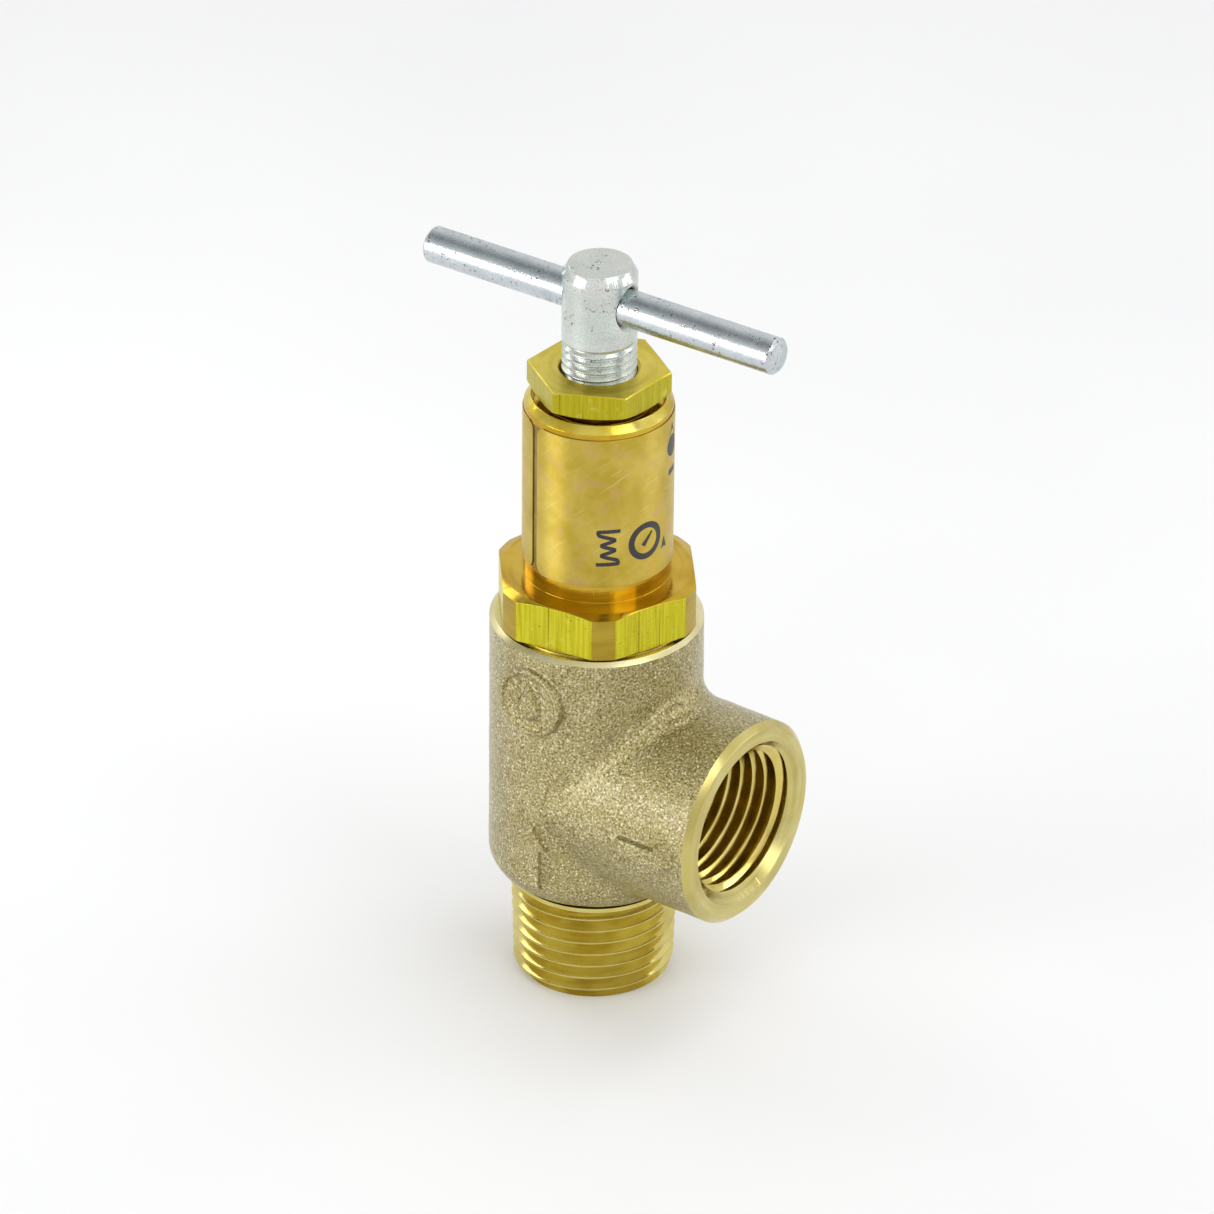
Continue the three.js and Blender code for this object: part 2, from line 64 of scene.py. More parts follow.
def box_of(node):
    """Lowest and highest corner of a CAD node, in millimetres."""
    low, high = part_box(node)
    return np.array(low) / MM, np.array(high) / MM


# ---- sizes in millimetres, from the frame's boxes where a box gives them ----
body_low, body_high = box_of("valve_body")
bonnet_low, bonnet_high = box_of("bonnet")
label_low, label_high = box_of("bonnet_label")
screw_low, screw_high = box_of("adjusting_screw")
bar_low, bar_high = box_of("t_bar")
nut_low, nut_high = box_of("lock_nut")
spring_low, spring_high = box_of("spring")
button_low, button_high = box_of("spring_button")
_, disc_high = box_of("seat_disc")
holder_low, holder_high = box_of("disc_holder")
washer_low, _ = box_of("disc_washer")
disc_screw_low, disc_screw_high = box_of("disc_screw")

# 1/2 inch pipe thread: 14 threads per inch on a taper of 1 in 16
PIPE_PITCH = 25.4 / 14
PIPE_TAPER = 1 / 32
PIPE_DEPTH = 1.35
INLET_CREST_R = 10.36
INLET_CHAMFER_R = 9.6
INLET_THREAD_TOP = 13.7
INLET_LAND_Z = 13.62
INLET_LAND_R = 10.83
INLET_GROOVE_Z = 14.2
INLET_GROOVE_R = 10.25
INLET_BORE_R = 6.5
INLET_BORE_CHAMFER = 0.4
OUTLET_ROOT_R = 10.62
OUTLET_BORE_R = 8.6
OUTLET_BORE_START = 2.0
OUTLET_TURNS = 7
OUTLET_CONE_DEPTH = 2.0
OUTLET_LIP_R = OUTLET_ROOT_R - 0.75
OUTLET_LIP_DEPTH = 1.15
OUTLET_MOUTH_R = OUTLET_ROOT_R + 0.4

# casting
BODY_R = body_high[1]
BODY_TOP = body_high[2]
BODY_BOTTOM = 14.6
BODY_ROUNDING = 3.9
RIM_CHAMFER = 0.55
OUTLET_R = BODY_R - 0.05
OUTLET_FACE = body_high[0]
OUTLET_Z = 29.45
OUTLET_CHAMFER = 0.8
CAST_FILLET = 3.0
NET_STEP = 0.3
SIGN_FACE = -body_low[1]
PAD_FACE = SIGN_FACE - 0.15
ARROW_FACE = SIGN_FACE + 0.2
PAD_R = 4.75
PAD_RING_INSET = 0.45
PAD_RING_HALF = 0.32
MARK_RISE = 0.35
MARK_DEPTH = 4
PAD_PLACE = (-0.15, 45.4)

# waterway
SEAT_TOP = 22.5
SEAT_LEAD = 0.4
SEAT_SLOPE = 0.8
SEAT_LIP_R = 7.2
SEAT_FOOT_R = 8.0
CHAMBER_FLOOR = 20.4
CHAMBER_R = 9.8
BONNET_BORE_BOTTOM = 42.2
BONNET_BORE_R = 11.1
BONNET_BORE_MOUTH_R = BONNET_BORE_R + 0.6

# bonnet
PLUG_BOTTOM = bonnet_low[2]
PLUG_R = BONNET_BORE_R - 0.3
RUNOUT_R = PLUG_R - 0.4
RUNOUT_HEIGHT = 0.9
FLANGE_SEAT = BODY_TOP + 0.02
FLANGE_SEAT_R = 12.0
FLANGE_BOTTOM = 52.8
FLANGE_TOP = 58.9
FLANGE_CORNER_DROP = 0.45
FLANGE_CORNER_R = 13.35
FLANGE_FLAT = 12.24
FLANGE_FACE_R = 12.1
FLANGE_ANGLE = 9.6
BARREL_R = 9.44
BARREL_TOP = 83.0
BARREL_RIM_Z = 83.97
BARREL_RIM_R = 8.65
RECESS_MOUTH_R = BARREL_RIM_R - 0.2
RECESS_R = BARREL_RIM_R - 0.5
RECESS_FLOOR = 82.8
BOSS_R = 6.5
BOSS_TOP = bonnet_high[2]
SPRING_BORE_R = 7.6
SPRING_BORE_TOP = 74.0

# label
LABEL_R = 9.6
LABEL_THICK = 0.12
LABEL_CORNER_R = 1.3
LABEL_SEAM_ANGLE = -110
LABEL_SEAM = 6
LABEL_COVER = 0.2
INK_IN = LABEL_R - 0.02
INK_OUT = LABEL_R + 0.012

# adjusting screw, 3/8 inch with 24 threads per inch, and its bar
SCREW_R = 4.76
SCREW_PITCH = 25.4 / 24
SCREW_DEPTH = 0.62
SCREW_TIP_R = 2.4
SCREW_THREAD_TOP = 92.4
SCREW_FACE_R = 4.05
SCREW_CHAMFER = 1.3
PUNCH_R = 0.42
PUNCH_DEPTH = 0.28
SCREW_HOLE_R = SCREW_R + 0.1
BAR_R = (bar_high[2] - bar_low[2]) / 2
BAR_Z = (bar_high[2] + bar_low[2]) / 2
BAR_X = (bar_high[0] + bar_low[0]) / 2
BAR_LENGTH = 52.0
BAR_ANGLE = 1.86
BAR_HOLE_R = BAR_R + 0.08

# lock nut
NUT_FLAT = 7.97
NUT_CORNER_R = 9.2
NUT_ANGLE = 26.94
NUT_SINK_R = 5.2
NUT_SINK = 0.4
NUT_UNDER_RISE = 0.54

# spring, the pilots inside it, and the screw that clamps the disc
WIRE_R = 1.0
SPRING_R = 5.7
SPRING_TURNS = 9
PILOT_R = SPRING_R - WIRE_R - 0.35
DISC_SCREW_R = 1.5
DISC_HOLE_R = DISC_SCREW_R + 0.1

# how finely the turned shapes are cut
ROUND_STEPS = 3
FINE = 216
MEDIUM = 144
COARSE = 96


# ---- mesh tools ----
def solid(name, points, faces, materials, surfaces=None, sharp=38):
    """A closed mesh object from points in millimetres, its faces turned outwards."""
    mesh = bpy.data.meshes.new(name)
    mesh.from_pydata((np.asarray(points, float) * MM).tolist(), [], faces)
    for material in materials:
        mesh.materials.append(material)
    if surfaces is not None:
        mesh.polygons.foreach_set("material_index", np.asarray(surfaces, np.int32))
    shaped = bmesh.new()
    shaped.from_mesh(mesh)
    bmesh.ops.remove_doubles(shaped, verts=shaped.verts, dist=1e-7)
    if shaped.calc_volume(signed=True) < 0:
        bmesh.ops.reverse_faces(shaped, faces=shaped.faces)
    shaped.to_mesh(mesh)
    shaped.free()
    shade(mesh, sharp)
    return in_scene(name, mesh)


def in_scene(name, data):
    """A new object with that mesh, camera or lamp."""
    obj = bpy.data.objects.new(name, data)
    bpy.context.scene.collection.objects.link(obj)
    return obj


def shade(mesh, sharp=38):
    """Smooth shading, broken at edges sharper than the given angle."""
    mesh.shade_smooth()
    mesh.set_sharp_from_angle(angle=math.radians(sharp))


def even_normals(obj):
    """Weights the shading by face size, so that a big flat face next to a small rounding stays flat."""
    weighted = obj.modifiers.new("even_normals", "WEIGHTED_NORMAL")
    weighted.keep_sharp = True
    return obj


def reshaded(obj):
    """The same object after cuts, its sharp edges found again and its flat faces flat."""
    shade(obj.data, 42)
    return even_normals(obj)


def skin(rows, columns, loop=False, shift=0):
    """Quads of a grid whose columns run round an axis. At the seam a row meets one shift rows on."""
    index = np.arange(rows * columns).reshape(rows, columns)
    beside = np.roll(index, -1, axis=1)
    beside[:, -1] = index[np.minimum(np.arange(rows) + shift, rows - 1), 0]
    if loop:
        above, above_beside = np.roll(index, -1, axis=0), np.roll(beside, -1, axis=0)
    else:
        index, above = index[:-1], index[1:]
        beside, above_beside = beside[:-1], beside[1:]
    return np.stack([index, beside, above_beside, above], axis=-1).reshape(-1, 4)


def outline(corners, loop):
    """Points along a run of corners (r, z, rounding, surface that follows), and the surface after each."""
    points, surfaces = [], []
    for i, (r, z, rounding, surface) in enumerate(corners):
        here = np.array((r, z), float)
        at_end = not loop and i in (0, len(corners) - 1)
        if rounding == 0 or at_end:
            points.append(here)
            surfaces.append(surface)
            continue
        back = np.array(corners[i - 1][:2], float) - here
        on = np.array(corners[(i + 1) % len(corners)][:2], float) - here
        back_length, on_length = np.linalg.norm(back), np.linalg.norm(on)
        cosine = np.clip(back @ on / (back_length * on_length), -1, 1)
        setback = rounding / math.tan(math.acos(cosine) / 2)
        setback = min(setback, 0.45 * back_length, 0.45 * on_length)
        for step in range(ROUND_STEPS + 1):
            t = step / ROUND_STEPS
            pull = back / back_length * (1 - t) ** 2 + on / on_length * t**2
            points.append(here + pull * setback)
            surfaces.append(corners[i - 1][3] if t < 0.5 else surface)
    return np.array(points), surfaces


def revolved(name, corners, materials, angles=FINE, loop=True, sharp=38):
    """A solid turned about Z. corners is a run of corners, or a function that gives it at an angle."""
    if isinstance(angles, int):
        angles = np.arange(angles) * TURN / angles
    grid = []
    for angle in angles:
        at_angle = corners(angle) if callable(corners) else corners
        profile, surfaces = outline(at_angle, loop)
        r, z = profile.T
        grid.append(np.stack([r * math.cos(angle), r * math.sin(angle), z], axis=-1))
    grid = np.stack(grid, axis=1)
    faces = skin(*grid.shape[:2], loop=loop)
    rows = np.repeat(surfaces if loop else surfaces[:-1], len(angles))
    return solid(name, grid.reshape(-1, 3), faces.tolist(), materials, rows, sharp)


def turned(name, materials, corners, angles=FINE, surface=0):
    """A solid turned about Z whose profile starts and ends on it. A corner may leave its surface out."""
    corners = [(*corner, surface)[:4] for corner in corners]
    return revolved(name, corners, materials, angles, loop=False)


def moved(obj, matrix):
    """The object with its mesh turned and moved, the matrix's lengths in millimetres."""
    matrix = matrix.copy()
    matrix.translation *= MM
    obj.data.transform(matrix)
    return obj


def laid_along_x(obj, height, angle=0.0):
    """Turns a solid made about Z to lie along X, at a height, and by an angle in degrees about Z."""
    turn = Matrix.Rotation(math.radians(angle), 4, "Z") @ Matrix.Rotation(math.pi / 2, 4, "Y")
    return moved(obj, Matrix.Translation((0, 0, height)) @ turn)


def joined(target, tool, operation):
    """Cuts the tool from the target, or joins or intersects them, and removes the tool."""
    modifier = target.modifiers.new(operation, "BOOLEAN")
    modifier.operation = operation
    modifier.solver = "MANIFOLD"
    modifier.object = tool
    shaped = target.evaluated_get(bpy.context.evaluated_depsgraph_get())
    mesh = bpy.data.meshes.new_from_object(shaped)
    mesh.name = target.name
    target.modifiers.clear()
    target.data = mesh
    bpy.data.objects.remove(tool)
    return target


def lattice_noise(points, wavelength, seed):
    """Smooth noise between -1 and 1 from a seeded lattice that repeats every 32 cells."""
    size = 32
    lattice = np.random.default_rng(seed).uniform(-1, 1, (size, size, size))
    cell = np.floor(points / wavelength).astype(int)
    part = points / wavelength - cell
    part = part * part * (3 - 2 * part)
    total = np.zeros(len(points))
    for corner in itertools.product((0, 1), repeat=3):
        share = np.where(corner, part, 1 - part).prod(axis=1)
        i, j, k = ((cell + corner) % size).T
        total += share * lattice[i, j, k]
    return total


# ---- threads ----
THREAD_FLAT = 0.065  # half the crest's flat and half the root's, as shares of the pitch
THREAD_SOFT = 0.022  # the rounding either side of a flat's edge
HALF_STATIONS = np.array(
    [0, THREAD_FLAT - THREAD_SOFT, THREAD_FLAT + THREAD_SOFT]
    + [0.5 - THREAD_FLAT - THREAD_SOFT, 0.5 - THREAD_FLAT + THREAD_SOFT]
)
STATIONS = np.concatenate([HALF_STATIONS, [0.5], 1 - HALF_STATIONS[:0:-1]])


def thread_depth(phase):
    """How far into a V thread, from 0 on the crest (phase 0) to 1 in the root (phase 0.5)."""
    across = np.minimum(phase, 1 - phase)
    slope = (across - THREAD_FLAT) / (0.5 - 2 * THREAD_FLAT)
    soft = THREAD_SOFT / (0.5 - 2 * THREAD_FLAT)
    low = np.clip((slope + soft) / (2 * soft), 0, 1) ** 2 * soft
    high = 1 - np.clip((1 - slope + soft) / (2 * soft), 0, 1) ** 2 * soft
    return np.where(slope < soft, low, np.where(slope > 1 - soft, high, slope))


def threaded(name, start, end, pitch, radius_at, materials, surface=0, columns=150):
    """A threaded bar about Z whose mesh rows follow the helix. radius_at takes heights and depths."""
    turns = math.ceil((end - start) / pitch) + 2
    levels = np.concatenate([turn + STATIONS for turn in range(turns)] + [[turns]])
    share = np.arange(columns) / columns
    z = np.clip(start + pitch * (levels[:, None] + share[None, :] - 1), start, end)
    depth = thread_depth(np.mod((z - start) / pitch - share[None, :], 1))
    r = radius_at(z, depth)
    angle = TURN * share[None, :]
    grid = np.stack([r * np.cos(angle), r * np.sin(angle), z], axis=-1)
    faces = skin(*z.shape, shift=len(STATIONS)).tolist()
    count = z.size
    points = np.concatenate([grid.reshape(-1, 3), [[0, 0, start], [0, 0, end]]])
    last = count - columns
    for i in range(columns):
        after = (i + 1) % columns
        faces.append([count, after, i])
        faces.append([count + 1, last + i, last + after])
    return solid(name, points, faces, materials, [surface] * len(faces), sharp=50)


# ---- materials ----
def srgb(red, green, blue):
    """A linear colour from one given in 8-bit sRGB."""
    linear = []
    for value in (red, green, blue):
        value /= 255
        linear.append(value / 12.92 if value < 0.04045 else ((value + 0.055) / 1.055) ** 2.4)
    return (*linear, 1.0)


class Graph:
    """A node tree under construction."""

    def __init__(self, tree):
        self.nodes, self.links = tree.nodes, tree.links

    def feed(self, socket, value):
        """Links another node's output to a socket, or sets the socket's own value."""
        if isinstance(value, bpy.types.NodeSocket):
            self.links.new(value, socket)
        else:
            socket.default_value = value

    def node(self, kind, **inputs):
        """A new shader node with its inputs linked or set, _ standing for a space in their names."""
        made = self.nodes.new("ShaderNode" + kind)
        for name, value in inputs.items():
            self.feed(made.inputs[name.replace("_", " ")], value)
        return made

    def worked_out(self, kind, operation, a, b):
        """A maths node of one kind or the other, for two inputs."""
        made = self.nodes.new(kind)
        made.operation = operation
        self.feed(made.inputs[0], a)
        self.feed(made.inputs[1], b)
        return made

    def maths(self, operation, a, b=0.0):
        return self.worked_out("ShaderNodeMath", operation, a, b).outputs[0]

    def vector(self, operation, a, b=(0, 0, 0)):
        made = self.worked_out("ShaderNodeVectorMath", operation, a, b)
        return made.outputs["Value" if operation in ("LENGTH", "DOT_PRODUCT") else "Vector"]

    def span(self, value, low, high, to_low=0.0, to_high=1.0):
        """The value's stretch from low to high, carried over to another one and held at its ends."""
        ends = {"From_Min": low, "From_Max": high, "To_Min": to_low, "To_Max": to_high}
        return self.node("MapRange", Value=value, **ends).outputs["Result"]

    def mix(self, share, first, second):
        """Two colours mixed, each a socket, four linear numbers or three numbers of 8-bit sRGB."""
        made = self.nodes.new("ShaderNodeMix")
        made.data_type = "RGBA"
        self.feed(made.inputs[0], share)
        for index, colour in ((6, first), (7, second)):
            in_srgb = isinstance(colour, tuple) and len(colour) == 3
            self.feed(made.inputs[index], srgb(*colour) if in_srgb else colour)
        return made.outputs[2]


class Finish(Graph):
    """A procedural material under construction. Its coordinates are the valve's own, in millimetres."""

    def __init__(self, name, metallic, roughness, **settings):
        self.material = bpy.data.materials.new(name)
        self.material.use_nodes = True
        super().__init__(self.material.node_tree)
        self.shader = self.nodes["Principled BSDF"]
        self.set(Metallic=metallic, Roughness=roughness, **settings)
        self.place = self.vector("MULTIPLY", self.node("TexCoord").outputs["Object"], (1000,) * 3)
        self.x, self.y, self.z = self.node("SeparateXYZ", Vector=self.place).outputs

    def set(self, **inputs):
        for name, value in inputs.items():
            self.feed(self.shader.inputs[name.replace("_", " ")], value)

    def xyz(self, x=0.0, y=0.0, z=0.0):
        return self.node("CombineXYZ", X=x, Y=y, Z=z).outputs[0]

    def shrunk(self, wavelength, place=None, stretch=(1, 1, 1)):
        """Coordinates in which a wavelength, drawn out by stretch, is one unit long."""
        place = self.place if place is None else place
        return self.vector("MULTIPLY", place, tuple(1 / (wavelength * s) for s in stretch))

    def noise(self, wavelength, detail=2.0, roughness=0.5, place=None, stretch=(1, 1, 1)):
        """Noise from 0 to 1 whose features are about a wavelength across, drawn out by stretch."""
        scaled = self.shrunk(wavelength, place, stretch)
        made = self.node("TexNoise", Vector=scaled, Scale=1.0, Detail=detail, Roughness=roughness)
        return made.outputs["Fac"]

    def cells(self, wavelength):
        """Distance to the nearest of a scatter of points, about a wavelength apart."""
        return self.node("TexVoronoi", Vector=self.shrunk(wavelength), Scale=1.0).outputs["Distance"]

    def bump(self, height, depth, below=None):
        """Shading relief of the given depth in millimetres for a height from 0 to 1."""
        made = self.node("Bump", Strength=1.0, Distance=depth * MM, Height=height)
        if below is not None:
            self.feed(made.inputs["Normal"], below)
        return made.outputs["Normal"]

    def lathe_place(self, axis="Z", height=0.0):
        """Coordinates in which turning marks are level: along the axis and outwards count together."""
        if axis == "Z":
            across, along = (self.x, self.y), self.z
        else:
            across, along = (self.y, self.maths("SUBTRACT", self.z, height)), self.x
        radius = self.vector("LENGTH", self.xyz(*across))
        return self.xyz(*across, self.maths("ADD", along, radius))

    def brush_along(self, axis):
        """Streaks of light run as on a surface brushed round an axis."""
        tangent = self.nodes.new("ShaderNodeTangent")
        tangent.direction_type = "RADIAL"
        tangent.axis = axis
        self.feed(self.shader.inputs["Tangent"], tangent.outputs[0])
        self.shader.inputs["Anisotropic Rotation"].default_value = 0.25


def cast_brass():
    """Sand-cast skin: a tight grain over slow changes of tone, the tops of the grain painted near-white as
    sparkling highlights, with a few dark pinholes.
    """
    made = Finish("cast_brass", 0.95, 0.36, Coat_Weight=0.45, Coat_Roughness=0.3)
    grain = made.noise(0.28, detail=2.0, roughness=0.65)
    dust = made.noise(0.14, detail=1.0)
    patch = made.noise(7.0, detail=3.0, roughness=0.6)
    tone = made.mix(made.span(patch, 0.35, 0.65), (165, 152, 96), (182, 171, 120))
    tone = made.mix(made.span(grain, 0.35, 0.5), (112, 95, 44), tone)
    # painted highlight: the raised tops of the grain are painted near-white as glints of sparkle
    tone = made.mix(made.span(grain, 0.57, 0.69), tone, (238, 234, 212))
    pinholes = made.span(made.cells(2.3), 0.03, 0.075)
    tone = made.mix(pinholes, (92, 78, 44), tone)
    rough = made.span(dust, 0.3, 0.7, 0.28, 0.46)
    relief = made.bump(grain, 0.14)
    relief = made.bump(dust, 0.03, below=relief)
    made.set(Base_Color=tone, Roughness=rough, Normal=relief)
    return made.material


def turned_brass(name, colour, pale, axis="Z", height=0.0, roughness=0.2, depth=0.006, anisotropic=0.5):
    """Lathe-cut brass: fine tool marks round the axis, with slow changes of tone."""
    made = Finish(name, metallic=1.0, roughness=roughness, Anisotropic=anisotropic)
    place = made.lathe_place(axis, height)
    marks = made.noise(0.16, detail=2.0, place=place, stretch=(14, 14, 1))
    bands = made.noise(1.1, detail=2.0, place=place, stretch=(9, 9, 1))
    patch = made.noise(5.0, detail=2.0)
    tone = made.mix(made.span(patch, 0.38, 0.62), colour, pale)
    tone = made.mix(made.span(bands, 0.3, 0.55, 0.25, 0.0), tone, (120, 92, 24))
    rough = made.span(marks, 0.3, 0.7, roughness * 0.75, roughness * 1.35)
    made.brush_along(axis)
    made.set(Base_Color=tone, Roughness=rough, Normal=made.bump(marks, depth))
    return made.material


def milled_brass(name, dark, light):
    """Hexagon flats left by a broach: upright streaks, some of them dark scores, and a few nicks."""
    made = Finish(name, metallic=1.0, roughness=0.3)
    streaks = made.noise(0.3, detail=3.0, roughness=0.65, stretch=(1, 1, 40))
    scores = made.noise(0.55, detail=1.0, stretch=(1, 1, 90))
    wear = made.noise(1.6, detail=3.0)
    nicks = made.noise(0.7, detail=2.0, stretch=(1, 1, 0.4))
    tone = made.mix(made.span(streaks, 0.35, 0.65), dark, light)
    tone = made.mix(made.span(scores, 0.27, 0.33, 0.6, 0.0), tone, (104, 86, 16))
    tone = made.mix(made.span(nicks, 0.26, 0.31, 0.7, 0.0), tone, (90, 72, 14))
    tone = made.mix(made.span(wear, 0.62, 0.75, 0.0, 0.4), tone, (226, 220, 118))
    relief = made.bump(streaks, 0.012)
    relief = made.bump(nicks, 0.03, below=relief)
    made.set(Base_Color=tone, Roughness=made.span(wear, 0.3, 0.7, 0.24, 0.38), Normal=relief)
    return made.material


def label_foil():
    """Brushed foil: a gold satin with faint pink and olive clouds and hair scratches."""
    made = Finish("label_foil", metallic=1.0, roughness=0.38, Anisotropic=0.8)
    clouds = made.noise(4.2, detail=3.0, roughness=0.6)
    tint = made.noise(2.4, detail=2.0, place=made.vector("ADD", made.place, (40, 0, 0)))
    brush = made.noise(0.12, detail=2.0, stretch=(9, 9, 1))
    slant = made.vector("ADD", made.place, made.xyz(0.0, 0.0, made.maths("MULTIPLY", made.x, -0.9)))
    hair = made.noise(0.35, detail=1.0, place=slant, stretch=(12, 12, 1))
    tone = made.mix(made.span(clouds, 0.35, 0.65), (188, 163, 62), (206, 182, 88))
    tone = made.mix(made.span(tint, 0.55, 0.72, 0.0, 0.55), tone, (198, 158, 108))
    tone = made.mix(made.span(hair, 0.66, 0.74, 0.0, 0.35), tone, (222, 206, 136))
    relief = made.bump(brush, 0.004)
    relief = made.bump(hair, 0.003, below=relief)
    made.brush_along("Z")
    made.set(Base_Color=tone, Roughness=made.span(brush, 0.3, 0.7, 0.34, 0.42), Normal=relief)
    return made.material


def zinc_plate(name, pale, shade_tone, roughness, pits, axis="Z", height=0.0):
    """Bright zinc on steel: faint pink and blue clouds, a frosted grain and small dark pits."""
    made = Finish(name, metallic=1.0, roughness=roughness, Anisotropic=0.2)
    clouds = made.noise(3.4, detail=3.0, roughness=0.6)
    tint = made.noise(2.2, detail=2.0, place=made.vector("ADD", made.place, (0, 60, 0)))
    frost = made.noise(0.22, detail=2.0)
    draw = made.noise(0.14, detail=2.0, place=made.lathe_place(axis, height), stretch=(10, 10, 1))
    tone = made.mix(made.span(clouds, 0.35, 0.65), shade_tone, pale)
    tone = made.mix(made.span(tint, 0.55, 0.75, 0.0, 0.5), tone, (226, 210, 218))
    tone = made.mix(made.span(tint, 0.25, 0.42, 0.5, 0.0), tone, (196, 214, 206))
    tone = made.mix(made.span(frost, 0.35, 0.65, 0.0, 0.35), tone, (160, 166, 168))
    spots = made.span(made.cells(0.9), 0.08, 0.22)
    blotches = made.span(made.noise(0.5, detail=3.0), 0.6, 0.68, 1.0, 0.0)
    clean = made.span(made.noise(2.6, detail=3.0), pits, pits + 0.06, 1.0, 0.0)
    mark = made.maths("MAXIMUM", made.maths("MULTIPLY", spots, blotches), clean)
    tone = made.mix(mark, (112, 107, 102), tone)
    relief = made.bump(made.maths("ADD", frost, mark), 0.02)
    relief = made.bump(draw, 0.004, below=relief)
    made.brush_along(axis)
    rough = made.span(frost, 0.3, 0.7, roughness * 0.8, roughness * 1.3)
    made.set(Base_Color=tone, Roughness=rough, Normal=relief)
    return made.material


def spring_steel():
    """Oil-tempered wire: grey with a dull mottle."""
    made = Finish("spring_steel", metallic=1.0, roughness=0.35)
    mottle = made.noise(0.8, detail=3.0)
    tone = made.mix(made.span(mottle, 0.35, 0.65), (120, 122, 126), (170, 172, 174))
    made.set(Base_Color=tone, Normal=made.bump(made.noise(0.2), 0.01))
    return made.material


def dull(name, dark, light, wavelength, smoothest, roughest, depth):
    """Rubber, fibre or ink: not metal, with a fine uneven grain."""
    made = Finish(name, metallic=0.0, roughness=roughest)
    grain = made.noise(wavelength, detail=3.0)
    made.set(Base_Color=made.mix(made.span(grain, 0.3, 0.7), dark, light))
    rough = made.span(grain, 0.3, 0.7, smoothest, roughest)
    made.set(Roughness=rough, Normal=made.bump(grain, depth))
    return made.material


def pale_floor():
    """A matt white floor with a barely uneven tone."""
    made = Finish("pale_floor", metallic=0.0, roughness=0.6)
    drift = made.noise(90.0, detail=2.0)
    made.set(Base_Color=made.mix(made.span(drift, 0.3, 0.7), (243, 243, 244), (247, 247, 247)))
    return made.material


CAST = cast_brass()
TURNED = turned_brass("turned_brass", (212, 194, 116), (226, 208, 142))
TURNED_X = turned_brass("turned_brass_outlet", (200, 186, 112), (208, 196, 130), "X", OUTLET_Z, 0.22)
THREAD = turned_brass("thread_brass", (206, 189, 106), (218, 204, 128), roughness=0.15)
THREAD_X = turned_brass("thread_brass_outlet", (212, 190, 100), (222, 202, 120), "X", OUTLET_Z, 0.13)
GOLD = turned_brass("bonnet_brass", (190, 152, 38), (204, 172, 60), roughness=0.14, depth=0.003)
STRIP = turned_brass("bar_stock_brass", (165, 139, 46), (180, 154, 58), roughness=0.3)
RIM = turned_brass("rim_brass", (200, 176, 62), (224, 206, 104), roughness=0.22, depth=0.014)
# painted highlight: the chamfer round the casting's top is painted pale and silvery as the reflection of
# the bright roof
RIM_PAINTED_HIGHLIGHT = turned_brass("casting_rim_painted_highlight", (218, 207, 152), (230, 221, 174), roughness=0.24, depth=0.01)
# painted shade: the narrow groove under the casting's foot is painted dark as the shadow under its
# overhang
GROOVE_SHADE = turned_brass("groove_painted_shade", (62, 54, 30), (92, 80, 46), roughness=0.6, anisotropic=0.0)
COVERED = turned_brass("covered_brass", (138, 121, 58), (156, 140, 78), roughness=0.35)
NUT_FACE = turned_brass("nut_brass", (206, 188, 62), (216, 198, 84), roughness=0.34, depth=0.004)
MILLED = milled_brass("milled_brass", (184, 173, 34), (210, 203, 54))
MILLED_NUT = milled_brass("milled_nut_brass", (172, 160, 32), (190, 180, 46))
FOIL = label_foil()
ZINC = zinc_plate("zinc_screw", (218, 224, 215), (202, 208, 199), 0.28, pits=0.57)
ZINC_EDGE = zinc_plate("zinc_chamfer", (226, 232, 226), (206, 212, 206), 0.14, pits=0.62)
ZINC_BAR = zinc_plate("zinc_bar", (214, 220, 222), (190, 198, 202), 0.24, pits=0.5, axis="X", height=BAR_Z)
STEEL = spring_steel()
RUBBER = dull("seat_rubber", (26, 26, 28), (48, 48, 50), 0.3, 0.55, 0.8, depth=0.02)
FIBRE = dull("gasket_fibre", (96, 60, 44), (134, 92, 66), 0.3, 0.55, 0.8, depth=0.02)
INK = dull("print_ink", (33, 30, 32), (50, 46, 47), 0.35, 0.35, 0.55, depth=0.004)


# ---- casting ----
CASTING = [CAST, TURNED_X, THREAD, THREAD_X, TURNED, RIM_PAINTED_HIGHLIGHT, GROOVE_SHADE]
SKIN, MOUTH, INLET, OUTLET, BORE, EDGE, GROOVE = range(len(CASTING))


def body_distance(p):
    """Signed distance to the round body with its rounded foot, and the way out from it."""
    r = np.hypot(p[:, 0], p[:, 1])
    out = r - (BODY_R - BODY_ROUNDING)
    down = BODY_BOTTOM + BODY_ROUNDING - p[:, 2]
    corner_out, corner_down = np.maximum(out, 0), np.maximum(down, 0)
    reach = np.hypot(corner_out, corner_down)
    distance = reach + np.minimum(np.maximum(out, down), 0) - BODY_ROUNDING
    share = np.where(reach > 0, corner_out / np.maximum(reach, 1e-9), 1)
    drop = np.where(reach > 0, corner_down / np.maximum(reach, 1e-9), 0)
    flat = p[:, :2] / np.maximum(r, 1e-9)[:, None] * share[:, None]
    return distance, np.column_stack([flat, -drop])


def boss_distance(p):
    """Signed distance to the outlet boss, round about X and domed inside the body, and the way out."""
    arm = np.column_stack([np.minimum(p[:, 0], 0), p[:, 1], p[:, 2] - OUTLET_Z])
    reach = np.maximum(np.linalg.norm(arm, axis=1), 1e-9)
    return reach - OUTLET_R, arm / reach[:, None]


def rolled_union(first, second, radius):
    """The union of two shapes with the corner between them filled as by a ball rolled along it."""
    (d1, n1), (d2, n2) = first, second
    cosine = np.clip((n1 * n2).sum(axis=1), -0.999, 0.999)
    spread = 1 - cosine**2
    a, b = radius - d1, radius - d2
    in_corner = (a > b * cosine) & (b > a * cosine)
    to_ball = np.sqrt(np.maximum(a * a + b * b - 2 * a * b * cosine, 0) / spread)
    return np.where(in_corner, radius - to_ball, np.minimum(d1, d2))


